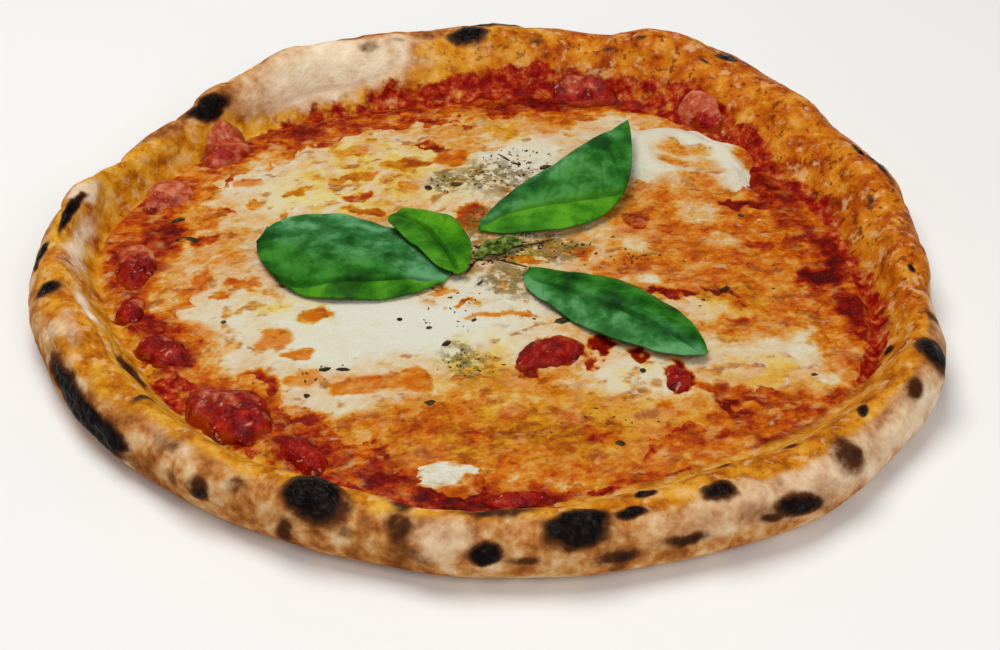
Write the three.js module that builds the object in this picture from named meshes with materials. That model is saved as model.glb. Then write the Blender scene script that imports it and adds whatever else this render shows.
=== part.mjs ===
// A whole Neapolitan margherita pizza, uncut: a baked dough base with a puffed, uneven rim,
// tomato sauce in its well, melted mozzarella over the sauce, tomato pieces and basil leaves.
// Millimetres, +Z up. The flat underside lies on z = 0, below the origin in the middle of the outline.
// Angles are in degrees, anticlockwise from +X as seen from above.
import * as THREE from "three";

// ---- Driving dimensions

const PIZZA_RADIUS = 152.4; // outer radius before the swells below
const RIM_HEIGHT = 19; // crest of the rim above the table, before its puffs
const WELL_RADIUS = 124; // where the rim's inner slope meets the flat of the dough
const BASE_THICKNESS = 4; // dough under the sauce
const SAUCE_DEPTH = 1.5;
const CHEESE_DEPTH = 2.2;
const LEAF_THICKNESS = 0.7;
const GAP = 0.3; // clearance between a piece and what it lies on

const WIDEST_SHARE = 0.42; // height of the rim's widest line, as a share of the crest's height
const CREST_SHARE = 0.42; // how far in from the outer edge the crest stands, as a share of the rim's width
const UNDERCUT = 12; // how far in from the widest line the underside lifts off the table
const SLOPE_POWER = 1.3; // above 1, the inner slope starts level at the well
const SAUCE_CLIMB = 1 / 3; // how far up the inner slope the sauce reaches

// A swell raises a measure by `by` round the angle `at`, fading over `spread` degrees.
const OUTLINE_SWELLS = [
  { at: 18, by: 3.3, spread: 18 },
  { at: 54, by: 13.6, spread: 20 },
  { at: 88, by: 5.2, spread: 20 },
  { at: 148, by: -7.8, spread: 20 },
  { at: 188, by: 2, spread: 16 },
  { at: 275, by: 5.2, spread: 20 },
  { at: 310, by: 14, spread: 22 },
  { at: 336, by: 7.4, spread: 12 },
];
const WELL_SWELLS = [
  { at: 40, by: -4.3, spread: 16 },
  { at: 98, by: -10, spread: 24 },
  { at: 172, by: 9.6, spread: 18 },
  { at: 205, by: -1.8, spread: 12 },
  { at: 270, by: 5.9, spread: 10 },
  { at: 332, by: 14.1, spread: 24 },
];
const PUFFS = [
  { at: 25, by: 1, spread: 14 },
  { at: 58, by: 6, spread: 14 },
  { at: 88, by: 3, spread: 10 },
  { at: 117, by: 6, spread: 17 },
  { at: 150, by: -3.5, spread: 7 },
  { at: 175, by: 3, spread: 8 },
  { at: 196, by: 2.5, spread: 7 },
  { at: 217, by: 2.5, spread: 9 },
  { at: 249, by: 3, spread: 10 },
  { at: 279, by: 2.5, spread: 10 },
  { at: 305, by: 2.5, spread: 11 },
  { at: 331, by: 1.5, spread: 8 },
];
// Finer unevenness of the crest's height: waves round the rim with their height and phase.
const CREST_WAVES = [
  { count: 11, by: 0.6, phase: 40 },
  { count: 17, by: 0.5, phase: 130 },
  { count: 26, by: 0.35, phase: 200 },
];

// The sheet of melted cheese: its radius round its own centre.
const SHEET = { x: 2, y: -4, radius: 109 };
const SHEET_SWELLS = [
  { at: 62, by: 9, spread: 16 },
  { at: 150, by: 6.9, spread: 12 },
  { at: 223, by: -10.8, spread: 14 },
  { at: 282, by: 11.8, spread: 18 },
  { at: 332, by: 16, spread: 14 },
];
const SHEET_LUMPS = { size: 46, height: 0.9 };

// Pieces lying on the layers: centre, half length, half width, turn of the length, height.
const SLICE = { x: 76, y: 66, long: 27, wide: 22, turn: -38, height: 2.8 };
const CURD = { x: -9, y: -115, long: 12, wide: 7, turn: -12, height: 2.8 };
const TOMATO_PIECES = {
  tomato_piece_back_left: { x: -95, y: 75, long: 13, wide: 9, turn: 66, height: 5 },
  tomato_piece_left_upper: { x: -114, y: 43, long: 14, wide: 9, turn: 66, height: 4.5 },
  tomato_piece_left: { x: -119, y: -1, long: 16, wide: 9, turn: 96, height: 5 },
  tomato_piece_left_tail: { x: -117, y: -28, long: 9, wide: 5, turn: 84, height: 3.5 },
  tomato_piece_left_lower: { x: -103, y: -50, long: 12, wide: 7, turn: -44, height: 4.5 },
  tomato_piece_front_left: { x: -78, y: -82, long: 17, wide: 12, turn: -42, height: 5.5 },
  tomato_piece_front: { x: -54, y: -102, long: 12, wide: 6, turn: -50, height: 4 },
  tomato_piece_front_middle: { x: 12, y: -125, long: 12, wide: 5, turn: 4, height: 3.5 },
  tomato_piece_back: { x: 40, y: 115, long: 17, wide: 8, turn: -12, height: 4.5 },
  tomato_piece_back_right: { x: 85, y: 95, long: 12, wide: 6, turn: -56, height: 4.5 },
  tomato_piece_middle: { x: 23, y: -54, long: 14, wide: 9, turn: 14, height: 2.4 },
  tomato_piece_right: { x: 63, y: -67, long: 8, wide: 5, turn: 96, height: 2.4 },
};
const RAGGED = 0.13; // how unevenly a piece's outline runs, as a share of its radius

// Basil: the two ends of the midrib, the widest reach to its left and right and where along the
// leaf that is, the fullness of the outline, the lift of each end above what lies below, the
// height of the arched back, how much higher the left edge stands, and the midrib's sideways bow.
const BASIL_LEAVES = {
  basil_leaf_left: {
    stalk: [-10, -11], tip: [-78, 4], left: 24, right: 25, widest: 0.52, fullness: 0.6,
    stalkLift: 0, tipLift: 0.8, crown: 4, roll: 0, bow: 2,
  },
  basil_leaf_small: {
    stalk: [-7, -9], tip: [-21, 27], left: 14, right: 10, widest: 0.6, fullness: 0.7,
    stalkLift: 3.2, tipLift: 7, crown: 1.5, roll: 2.5, bow: 0,
  },
  basil_leaf_back: {
    stalk: [0, 17], tip: [54, 75], left: 14, right: 18, widest: 0.5, fullness: 0.8,
    stalkLift: 0, tipLift: 8, crown: 3.5, roll: 1, bow: -3,
  },
  basil_leaf_front: {
    stalk: [13, -9], tip: [72, -56], left: 15, right: 12, widest: 0.5, fullness: 0.65,
    stalkLift: 0, tipLift: 1, crown: 4, roll: 0, bow: 2,
  },
  basil_sprig: {
    stalk: [-2, -1], tip: [15, 9], left: 5, right: 5, widest: 0.5, fullness: 0.8,
    stalkLift: 0, tipLift: 0.4, crown: 1.4, roll: 0, bow: 1,
  },
};
const EDGE_WAVE = { height: 0.6, turns: 2.4 }; // ripple of a leaf's edges from stalk to tip

const MATERIALS = {
  crust: { color: 0xd9b48a, roughness: 0.75, metalness: 0 },
  sauce: { color: 0xa8200c, roughness: 0.35, metalness: 0 },
  cheese: { color: 0xf0e2c0, roughness: 0.4, metalness: 0 },
  tomato: { color: 0xb5240f, roughness: 0.3, metalness: 0 },
  basil: { color: 0x1f6b12, roughness: 0.45, metalness: 0 },
};

// ---- Mesh fineness

const RIM_SEGMENTS = 108;
const CRUST_STEPS = { curl: 2, outside: 5, slope: 6, well: 2 };
const WELL_SHARES = [0, 0.5, 0.85]; // rings of the sauce inside the well
const SHEET_SEGMENTS = 64;
const SHEET_SHARES = [0, 0.2, 0.4, 0.58, 0.74, 0.87, 0.95, 1];
const SLICE_SEGMENTS = 24;
const SLICE_SHARES = [0, 0.35, 0.6, 0.8, 0.92, 1];
const LOAF_SEGMENTS = 16;
const LOAF_SHARES = [0, 0.5, 0.8, 0.94, 1];
const LEAF_STEPS = { along: 11, across: 6 };
const REST_REACH = 2; // a piece clears the highest spot this far round each of its points

// ---- Small helpers

const { clamp, degToRad, euclideanModulo, lerp, radToDeg } = THREE.MathUtils;

/** The signed turn between two angles, from -180 to 180. */
const turnBetween = (from, to) => euclideanModulo(to - from + 180, 360) - 180;

/** A measure with its swells added at one angle. */
const swollen = (base, swells, angle) =>
  swells.reduce(
    (sum, { at, by, spread }) => sum + by * Math.exp(-((turnBetween(at, angle) / spread) ** 2)),
    base,
  );

/** Soft lumps of about the given size and height, from four crossing waves. */
function lumps({ size, height }, x, y) {
  const wave = (turn, phase) =>
    Math.sin((2 * Math.PI * (x * Math.cos(turn) + y * Math.sin(turn))) / size + phase);
  return (height / 2) * (wave(0.3, 0.5) * wave(1.9, 2.1) + wave(2.6, 4) * wave(1.1, 1.3));
}

/** The point at a radius and angle round a centre. */
const polar = (radius, angle, centre = { x: 0, y: 0 }) => [
  centre.x + radius * Math.cos(degToRad(angle)),
  centre.y + radius * Math.sin(degToRad(angle)),
];

/** The distance and angle of a point from a centre. */
const fromCentre = (x, y, centre = { x: 0, y: 0 }) => ({
  radius: Math.hypot(x - centre.x, y - centre.y),
  angle: radToDeg(Math.atan2(y - centre.y, x - centre.x)),
});

// ---- The dough

const outerRadius = (angle) => swollen(PIZZA_RADIUS, OUTLINE_SWELLS, angle);
const wellRadius = (angle) => swollen(WELL_RADIUS, WELL_SWELLS, angle);
const crestRadius = (angle) => lerp(outerRadius(angle), wellRadius(angle), CREST_SHARE);

const crestHeight = (angle) =>
  CREST_WAVES.reduce(
    (sum, { count, by, phase }) => sum + by * Math.sin(degToRad(count * angle + phase)),
    swollen(RIM_HEIGHT, PUFFS, angle),
  );

/** Height of the dough's upper face, from the middle out to the crest. */
function doughTop(x, y) {
  const { radius, angle } = fromCentre(x, y);
  const foot = wellRadius(angle);
  const share = clamp((radius - foot) / (crestRadius(angle) - foot), 0, 1);
  return lerp(BASE_THICKNESS, crestHeight(angle), Math.sin((Math.PI / 2) * share ** SLOPE_POWER));
}

/** Radius and height on the underside's curl, from the table (0) to the widest line (1). */
function curlPoint(angle, share) {
  const turn = (share * Math.PI) / 2;
  const height = WIDEST_SHARE * crestHeight(angle) * (1 - Math.cos(turn));
  return [outerRadius(angle) - UNDERCUT * (1 - Math.sin(turn)), height];
}

/** Radius and height on the rim's outside, from the widest line (0) to the crest (1). */
function outsidePoint(angle, share) {
  const turn = (share * Math.PI) / 2;
  const height = lerp(WIDEST_SHARE, 1, Math.sin(turn)) * crestHeight(angle);
  return [lerp(crestRadius(angle), outerRadius(angle), Math.cos(turn)), height];
}

// ---- The layers on the dough: each one's depth fades to nothing at its own outline

const sauceRadius = (angle) => lerp(wellRadius(angle), crestRadius(angle), SAUCE_CLIMB);

function sauceDepth(x, y) {
  const { radius, angle } = fromCentre(x, y);
  const foot = wellRadius(angle);
  const share = clamp((radius - foot) / (sauceRadius(angle) - foot), 0, 1);
  return SAUCE_DEPTH * (1 - share ** 2);
}

const sheetRadius = (angle) => swollen(SHEET.radius, SHEET_SWELLS, angle);

function sheetDepth(x, y) {
  const { radius, angle } = fromCentre(x, y, SHEET);
  const body = CHEESE_DEPTH + lumps(SHEET_LUMPS, x, y);
  return body * Math.max(0, 1 - (radius / sheetRadius(angle)) ** 10);
}

/** Radius of a piece's ragged oval outline. */
function ovalRadius(piece, angle) {
  const turn = degToRad(angle - piece.turn);
  const oval = 1 / Math.hypot(Math.cos(turn) / piece.long, Math.sin(turn) / piece.wide);
  const notches = Math.sin(3 * turn + piece.x) + 0.6 * Math.sin(5 * turn + piece.y);
  return oval * (1 + (RAGGED / 2) * notches);
}

/** How far out in a piece a point lies: 0 at its middle and 1 on its outline. */
function ovalShare(piece, x, y) {
  const { radius, angle } = fromCentre(x, y, piece);
  return radius / ovalRadius(piece, angle);
}

/** A loaf's thickness: full in the middle, rounding down steeply to the outline. */
const loafDepth = (piece, x, y) =>
  piece.height * Math.sqrt(Math.max(0, 1 - ovalShare(piece, x, y) ** 3));

/** The cheese slice keeps a raised round edge about a sunken middle. */
function sliceDepth(x, y) {
  const share = ovalShare(SLICE, x, y);
  const edge = 0.4 + 0.8 * Math.exp(-(((share - 0.7) / 0.24) ** 2));
  return SLICE.height * edge * Math.max(0, 1 - share ** 6);
}

/** The underside of what lies on a surface, clear of every spot close by. */
const restOn = (surface) => (x, y) => {
  const spots = [[0, 0], [1, 0], [-1, 0], [0, 1], [0, -1]];
  const heights = spots.map(([right, back]) =>
    surface(x + right * REST_REACH, y + back * REST_REACH),
  );
  return GAP + Math.max(...heights);
};

const sauceUnderside = (x, y) => doughTop(x, y) + GAP;
const sauceTop = (x, y) => sauceUnderside(x, y) + sauceDepth(x, y);
const sheetUnderside = restOn(sauceTop);
const sheetTop = (x, y) => sheetUnderside(x, y) + sheetDepth(x, y);
const sheetIsUnder = (x, y) => sheetDepth(x, y) > 0;
const layersTop = (x, y) => (sheetIsUnder(x, y) ? sheetTop(x, y) : sauceTop(x, y));
const pieceUnderside = restOn(layersTop);
const sliceTop = (x, y) => pieceUnderside(x, y) + sliceDepth(x, y);
const sliceIsUnder = (x, y) => ovalShare(SLICE, x, y) < 1;
const leafUnderside = restOn((x, y) => (sliceIsUnder(x, y) ? sliceTop(x, y) : layersTop(x, y)));

// ---- Closed surfaces

/** A body turned round +Z: place(row, angle) gives each point, the first and last rows on the axis. */
function turnedBody(rows, segments, place) {
  const profile = Array.from({ length: rows }, (_, row) => new THREE.Vector2(row, row));
  const geometry = new THREE.LatheGeometry(profile, segments);
  const position = geometry.attributes.position;
  for (let side = 0; side <= segments; side++)
    for (let row = 0; row < rows; row++)
      position.setXYZ(side * rows + row, ...place(row, ((side % segments) * 360) / segments));
  geometry.computeVertexNormals();
  return geometry;
}

/**
 * A piece lying on something: rings at shares of its outline's radius, first over the underside
 * from the middle out to the shared edge, then back to the middle over the top.
 */
function lyingPiece({ centre, shares, segments, ring, underside, depth }) {
  const rows = 2 * shares.length - 1;
  return turnedBody(rows, segments, (row, angle) => {
    const onTop = row >= shares.length;
    const share = shares[onTop ? rows - 1 - row : row];
    const [x, y] = polar(ring(share, angle), angle, centre);
    return [x, y, underside(x, y) + (onTop ? depth(x, y) : 0)];
  });
}

/** A thin sheet whose two faces are split into triangles alike, closed along its edges. */
function thinSheet(along, across, place) {
  const plane = new THREE.PlaneGeometry(1, 1, along, across);
  const { count } = plane.attributes.position;
  const corners = [];
  for (const face of [1, 0])
    for (let i = 0; i < count; i++) {
      const u = plane.attributes.position.getX(i) + 0.5;
      const v = plane.attributes.position.getY(i) * 2;
      corners.push(...place(u, v, face));
    }
  const top = Array.from(plane.index.array);
  const bottom = top.map((i) => i + count).reverse();
  const geometry = new THREE.BufferGeometry();
  geometry.setAttribute("position", new THREE.Float32BufferAttribute(corners, 3));
  geometry.setIndex([...top, ...bottom, ...sheetEdge(along, across, count)]);
  geometry.computeVertexNormals();
  return geometry;
}

/** The triangles round the edge of a thin sheet, whose lower face starts at point `count`. */
function sheetEdge(along, across, count) {
  const at = (column, row) => row * (along + 1) + column;
  const loop = [];
  for (let column = 0; column < along; column++) loop.push(at(column, 0));
  for (let row = 0; row < across; row++) loop.push(at(along, row));
  for (let column = along; column > 0; column--) loop.push(at(column, across));
  for (let row = across; row > 0; row--) loop.push(at(0, row));
  return loop.flatMap((here, i) => {
    const next = loop[(i + 1) % loop.length];
    return [here, next, here + count, next, next + count, here + count];
  });
}

// ---- The pieces

/** Rows of the crust from the middle of the underside, out round the rim and back to the middle. */
function crustGeometry() {
  const { curl, outside, slope, well } = CRUST_STEPS;
  const onDough = (radius, angle) => [radius, doughTop(...polar(radius, angle))];
  const rows = [() => [0, 0]];
  for (let i = 0; i <= curl; i++) rows.push((angle) => curlPoint(angle, i / curl));
  for (let i = 1; i <= outside; i++) rows.push((angle) => outsidePoint(angle, i / outside));
  for (let i = 1; i <= slope; i++)
    rows.push((angle) => onDough(lerp(crestRadius(angle), wellRadius(angle), i / slope), angle));
  for (let i = 1; i <= well; i++)
    rows.push((angle) => onDough(wellRadius(angle) * (1 - i / well), angle));
  return turnedBody(rows.length, RIM_SEGMENTS, (row, angle) => {
    const [radius, height] = rows[row](angle);
    return [...polar(radius, angle), height];
  });
}

/** The sauce's rings on the slope are those of the crust, so that their faces run alike. */
function sauceGeometry() {
  const climbSteps = Math.round(SAUCE_CLIMB * CRUST_STEPS.slope);
  const onSlope = Array.from({ length: climbSteps + 1 }, (_, i) => 1 + i / climbSteps);
  return lyingPiece({
    shares: [...WELL_SHARES, ...onSlope],
    segments: RIM_SEGMENTS,
    ring: (share, angle) =>
      share < 1 ? share * wellRadius(angle) : lerp(wellRadius(angle), sauceRadius(angle), share - 1),
    underside: sauceUnderside,
    depth: sauceDepth,
  });
}

const sheetGeometry = () =>
  lyingPiece({
    centre: SHEET,
    shares: SHEET_SHARES,
    segments: SHEET_SEGMENTS,
    ring: (share, angle) => share * sheetRadius(angle),
    underside: sheetUnderside,
    depth: sheetDepth,
  });

const ovalGeometry = (piece, shares, segments, depth) =>
  lyingPiece({
    centre: piece,
    shares,
    segments,
    ring: (share, angle) => share * ovalRadius(piece, angle),
    underside: pieceUnderside,
    depth,
  });

const loafGeometry = (piece) =>
  ovalGeometry(piece, LOAF_SHARES, LOAF_SEGMENTS, (x, y) => loafDepth(piece, x, y));

/** Half width of a leaf as a share of its widest: round at the stalk, more pointed at the tip. */
function leafTaper({ widest, fullness }, along) {
  const stretch = Math.log(0.5) / Math.log(widest);
  return Math.max(0.03, Math.sin(Math.PI * along ** stretch)) ** fullness;
}

/** A point of a leaf: along runs from stalk to tip, side from -1 (right) to 1 (left). */
function leafPoint(leaf, along, side, face) {
  const spot = new THREE.Vector2(...leaf.stalk);
  const rib = new THREE.Vector2(...leaf.tip).sub(spot);
  const left = new THREE.Vector2(-rib.y, rib.x).normalize();
  const halfWidth = (side > 0 ? leaf.left : leaf.right) * leafTaper(leaf, along);
  const belly = Math.sin(Math.PI * along);
  spot.addScaledVector(rib, along).addScaledVector(left, side * halfWidth + leaf.bow * belly);
  const arch = leaf.crown * belly * (1 - side ** 2);
  const lift = lerp(leaf.stalkLift, leaf.tipLift, along ** 1.5);
  const ripple = Math.sin(2 * Math.PI * EDGE_WAVE.turns * along + 2 * side) + 1;
  const stand = arch + lift + leaf.roll * belly * (1 + side) + EDGE_WAVE.height * ripple * side ** 2;
  return [spot.x, spot.y, leafUnderside(spot.x, spot.y) + stand + face * LEAF_THICKNESS];
}

const leafGeometry = (leaf) =>
  thinSheet(LEAF_STEPS.along, LEAF_STEPS.across, (along, side, face) =>
    leafPoint(leaf, along, side, face),
  );

function namedMesh(name, geometry, look) {
  const mesh = new THREE.Mesh(geometry, new THREE.MeshStandardMaterial(MATERIALS[look]));
  mesh.name = name;
  return mesh;
}

function buildPizza() {
  const pizza = new THREE.Group();
  pizza.name = "margherita_pizza";
  pizza.add(
    namedMesh("crust", crustGeometry(), "crust"),
    namedMesh("tomato_sauce", sauceGeometry(), "sauce"),
    namedMesh("mozzarella_sheet", sheetGeometry(), "cheese"),
    namedMesh("mozzarella_curd", loafGeometry(CURD), "cheese"),
    namedMesh(
      "mozzarella_slice",
      ovalGeometry(SLICE, SLICE_SHARES, SLICE_SEGMENTS, sliceDepth),
      "cheese",
    ),
  );
  for (const [name, piece] of Object.entries(TOMATO_PIECES))
    pizza.add(namedMesh(name, loafGeometry(piece), "tomato"));
  for (const [name, leaf] of Object.entries(BASIL_LEAVES))
    pizza.add(namedMesh(name, leafGeometry(leaf), "basil"));
  const middle = new THREE.Box3().setFromObject(pizza).getCenter(new THREE.Vector3());
  pizza.position.set(-middle.x, -middle.y, 0);
  return pizza;
}

export default buildPizza();
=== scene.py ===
import itertools

import bpy
import numpy as np
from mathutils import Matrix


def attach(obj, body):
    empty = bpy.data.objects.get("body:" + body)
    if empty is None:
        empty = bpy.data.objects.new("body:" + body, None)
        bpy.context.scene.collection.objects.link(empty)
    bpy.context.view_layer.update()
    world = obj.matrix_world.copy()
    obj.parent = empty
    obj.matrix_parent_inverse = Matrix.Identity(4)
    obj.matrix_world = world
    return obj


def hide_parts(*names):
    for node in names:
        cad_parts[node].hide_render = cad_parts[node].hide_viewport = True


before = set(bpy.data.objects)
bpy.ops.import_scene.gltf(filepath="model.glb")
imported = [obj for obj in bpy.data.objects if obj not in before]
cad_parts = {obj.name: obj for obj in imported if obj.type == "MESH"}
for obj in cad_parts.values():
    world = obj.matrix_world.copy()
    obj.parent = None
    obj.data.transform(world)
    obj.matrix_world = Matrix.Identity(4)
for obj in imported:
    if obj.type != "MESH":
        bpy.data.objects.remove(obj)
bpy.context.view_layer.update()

BODY = "root"
METRES = 0.001  # one millimetre

# ---- The form of the solids: the same driving dimensions as the part has

PIZZA_RADIUS = 152.4
RIM_HEIGHT = 19.0
WELL_RADIUS = 124.0
BASE_THICKNESS = 4.0
SAUCE_DEPTH = 1.5
CHEESE_DEPTH = 2.2
GAP = 0.3  # between two solids that lie on each other
WIDEST_SHARE = 0.42  # of the rim's height, where it stands out furthest
CREST_SHARE = 0.42  # of the way from the outline in to the well, where the rim is highest
UNDERCUT = 12.0  # how far the flat underside stays inside the outline
SLOPE_POWER = 1.3
SAUCE_CLIMB = 1 / 3  # of the way from the well up to the crest
REST_REACH = 2.0  # how far round a place a piece stays clear of what it lies on
RAGGED = 0.13  # how uneven the outline of an oval piece is
OUTLINE_SEGMENTS = 108  # the solids' segments round the rim, which set the outline's middle

# Swells: the angle where a measure is raised, by how much, and the degrees over which it fades.
OUTLINE_SWELLS = [
    (18, 3.3, 18), (54, 13.6, 20), (88, 5.2, 20), (148, -7.8, 20), (188, 2, 16), (275, 5.2, 20),
    (310, 14, 22), (336, 7.4, 12),
]
WELL_SWELLS = [
    (40, -4.3, 16), (98, -10, 24), (172, 9.6, 18), (205, -1.8, 12), (270, 5.9, 10), (332, 14.1, 24),
]
PUFFS = [
    (25, 1, 14), (58, 6, 14), (88, 3, 10), (117, 6, 17), (150, -3.5, 7), (175, 3, 8), (196, 2.5, 7),
    (217, 2.5, 9), (249, 3, 10), (279, 2.5, 10), (305, 2.5, 11), (331, 1.5, 8),
]
CREST_WAVES = [(11, 0.6, 40), (17, 0.5, 130), (26, 0.35, 200)]  # count round the rim, height, phase

SHEET_MIDDLE = (2, -4)
SHEET_RADIUS = 109.0
SHEET_SWELLS = [(62, 9, 16), (150, 6.9, 12), (223, -10.8, 14), (282, 11.8, 18), (332, 16, 14)]
SHEET_LUMPS = (46, 0.9)  # size and height
SHEET_EDGE_POWER = 10  # how suddenly the sheet thins at its edge


def oval(x, y, long, wide, turn, height=0.0):
    """An oval on the pizza: its middle, half length, half width, the turn of its length, its height."""
    return {"x": x, "y": y, "long": long, "wide": wide, "turn": turn, "height": height}


SLICE = oval(76, 66, 27, 22, -38, 2.8)
SLICE_FLOOR = 0.4  # depth of the slice's middle, as a share of its height
SLICE_LIP = {"height": 0.8, "at": 0.7, "spread": 0.24}
CURD = oval(-9, -115, 12, 7, -12, 2.8)
# Each tomato piece, and how much of it a pale film of cheese and oil veils.
TOMATO_PIECES = {
    "tomato_piece_back_left": (oval(-95, 75, 13, 9, 66, 5), 0.8),
    "tomato_piece_left_upper": (oval(-114, 43, 14, 9, 66, 4.5), 0.9),
    "tomato_piece_left": (oval(-119, -1, 16, 9, 96, 5), 0.45),
    "tomato_piece_left_tail": (oval(-117, -28, 9, 5, 84, 3.5), 0.1),
    "tomato_piece_left_lower": (oval(-103, -50, 12, 7, -44, 4.5), 0.25),
    "tomato_piece_front_left": (oval(-78, -82, 17, 12, -42, 5.5), 0.3),
    "tomato_piece_front": (oval(-54, -102, 12, 6, -50, 4), 0.1),
    "tomato_piece_front_middle": (oval(12, -125, 12, 5, 4, 3.5), 0.1),
    "tomato_piece_back": (oval(40, 115, 17, 8, -12, 4.5), 0.35),
    "tomato_piece_back_right": (oval(85, 95, 12, 6, -56, 4.5), 0.7),
    "tomato_piece_middle": (oval(23, -54, 14, 9, 14, 2.4), 0.05),
    "tomato_piece_right": (oval(63, -67, 8, 5, 96, 2.4), 0.05),
}
# Each leaf's ends and widths to either side of the line between them, the share of its length where
# it is widest, how pointed it is, how high its ends and middle stand, its sideways bow, where the
# midrib runs across it at either end, and how strong its painted light and its painted bluish sheen
# are before and past the midrib.
BASIL_LEAVES = {
    "basil_leaf_left": {
        "stalk": (-12, -14.5), "tip": (-77, 11.5), "left": 17.5, "right": 31, "widest": 0.55,
        "fullness": 0.48, "stalk_lift": 0, "tip_lift": 0.8, "crown": 4, "roll": 0, "bow": 8,
        "fold": (-0.05, 1.35), "lit": (0.05, 0.6), "painted_sheen": (0.95, 0.1),
    },
    "basil_leaf_small": {
        "stalk": (-7.2, -12), "tip": (-30, 21), "left": 9.5, "right": 12, "widest": 0.57,
        "fullness": 0.4, "stalk_lift": 1.2, "tip_lift": 4, "crown": 2, "roll": 1, "bow": -3.5,
        "fold": (0, 0.1), "lit": (0.8, 0.6), "painted_sheen": (0.1, 0.1),
    },
    "basil_leaf_back": {
        "stalk": (-0.5, 17), "tip": (55, 79), "left": 10, "right": 23, "widest": 0.42,
        "fullness": 0.9, "stalk_lift": 0, "tip_lift": 6, "crown": 3.5, "roll": 1, "bow": -6,
        "fold": (0.3, -1.9), "lit": (0.8, 0.1), "painted_sheen": (0.3, 0.9),
    },
    "basil_leaf_front": {
        "stalk": (15.5, -10.5), "tip": (72.5, -58), "left": 12.5, "right": 15.5, "widest": 0.5,
        "fullness": 0.55, "stalk_lift": 0, "tip_lift": 1, "crown": 4, "roll": 0, "bow": 3,
        "fold": (-0.35, -0.1), "lit": (0.1, 0.0), "painted_sheen": (0.8, 0.1),
    },
    "basil_sprig": {
        "stalk": (-2, -1), "tip": (15, 9), "left": 5, "right": 5, "widest": 0.5,
        "fullness": 0.8, "stalk_lift": 0, "tip_lift": 0.4, "crown": 1.4, "roll": 0, "bow": 1,
        "fold": (0, 0), "lit": (0, 0), "painted_sheen": (0, 0),
    },
}
LEAF_THICKNESS = 0.7
EDGE_WAVE = {"height": 0.6, "turns": 2.4}

# ---- Small helpers


def lerp(start, end, share):
    return start + (end - start) * share


def smoothstep(low, high, value):
    share = np.clip((value - low) / (high - low), 0, 1)
    return share * share * (3 - 2 * share)


def turn_between(start, end):
    """The signed turn between two angles, from -180 to 180."""
    return (end - start + 180) % 360 - 180


def bell(value, middle, spread):
    """1 at the middle, falling off to either side."""
    return np.exp(-(((value - middle) / spread) ** 2))


def swollen(base, swells, angle):
    """A measure with its swells added at each angle."""
    total = np.full(np.shape(angle), float(base))
    for at, by, spread in swells:
        total += by * bell(turn_between(at, angle), 0, spread)
    return total


def polar(radius, angle, middle=(0, 0)):
    turn = np.radians(angle)
    return middle[0] + radius * np.cos(turn), middle[1] + radius * np.sin(turn)


def from_middle(x, y, middle=(0, 0)):
    """Distances and angles of points from a middle."""
    right, back = x - middle[0], y - middle[1]
    return np.hypot(right, back), np.degrees(np.arctan2(back, right))


def lumps(size, height, x, y):
    """Soft lumps of about the given size and height, from four crossing waves."""
    def wave(turn, phase):
        return np.sin(2 * np.pi * (x * np.cos(turn) + y * np.sin(turn)) / size + phase)
    return height / 2 * (wave(0.3, 0.5) * wave(1.9, 2.1) + wave(2.6, 4) * wave(1.1, 1.3))


HASH_STEPS = (73856093, 19349663, 83492791)
SEED_STEP = 2654435761
HASH_SPREAD = 1274126177
HASH_BITS = 0xFFFFFF


def cell_value(cells, seed):
    """A repeatable random number from -1 to 1 for each whole-numbered cell."""
    mixed = np.full(len(cells), seed * SEED_STEP, dtype=np.int64)
    for axis in range(cells.shape[1]):
        mixed ^= cells[:, axis] * HASH_STEPS[axis]
    mixed = (mixed ^ (mixed >> 15)) * HASH_SPREAD
    mixed = (mixed ^ (mixed >> 17)) * HASH_SPREAD
    return ((mixed >> 12) & HASH_BITS) / (HASH_BITS / 2) - 1


def noise(spots, size, seed):
    """Smooth random lumps about `size` across, from -1 to 1, at spots of 2 or 3 coordinates."""
    shape = np.shape(spots)
    cells = np.reshape(spots, (-1, shape[-1])) / size
    corner = np.floor(cells).astype(np.int64)
    part = cells - corner
    ease = part * part * (3 - 2 * part)
    total = np.zeros(len(cells))
    for step in itertools.product((0, 1), repeat=shape[-1]):
        weight = np.prod(np.where(step, ease, 1 - ease), axis=1)
        total += weight * cell_value(corner + step, seed)
    return total.reshape(shape[:-1])


def layered(spots, size, seed, layers=3):
    """Noise with finer layers on it, each half as wide and half as high as the one before."""
    heights = [0.5**layer for layer in range(layers)]
    total = sum(height * noise(spots, size * height, seed + layer) for layer, height in enumerate(heights))
    return total / sum(heights)


def flat(x, y):
    """Spots for noise on the pizza as seen from above."""
    return np.stack([x, y], axis=-1)


# ---- Heights of the solids' faces


def outer_radius(angle):
    return swollen(PIZZA_RADIUS, OUTLINE_SWELLS, angle)


def well_radius(angle):
    return swollen(WELL_RADIUS, WELL_SWELLS, angle)


def crest_radius(angle):
    return lerp(outer_radius(angle), well_radius(angle), CREST_SHARE)


def crest_height(angle):
    waves = sum(by * np.sin(np.radians(count * angle + phase)) for count, by, phase in CREST_WAVES)
    return swollen(RIM_HEIGHT, PUFFS, angle) + waves


def sauce_radius(angle):
    return lerp(well_radius(angle), crest_radius(angle), SAUCE_CLIMB)


def sheet_radius(angle):
    return swollen(SHEET_RADIUS, SHEET_SWELLS, angle)


def climb(x, y, end_radius):
    """How far up the rim's slope places lie: 0 at its foot, and 1 at the radius that ends the climb."""
    radius, angle = from_middle(x, y)
    foot = well_radius(angle)
    return (radius - foot) / (end_radius(angle) - foot)


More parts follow.
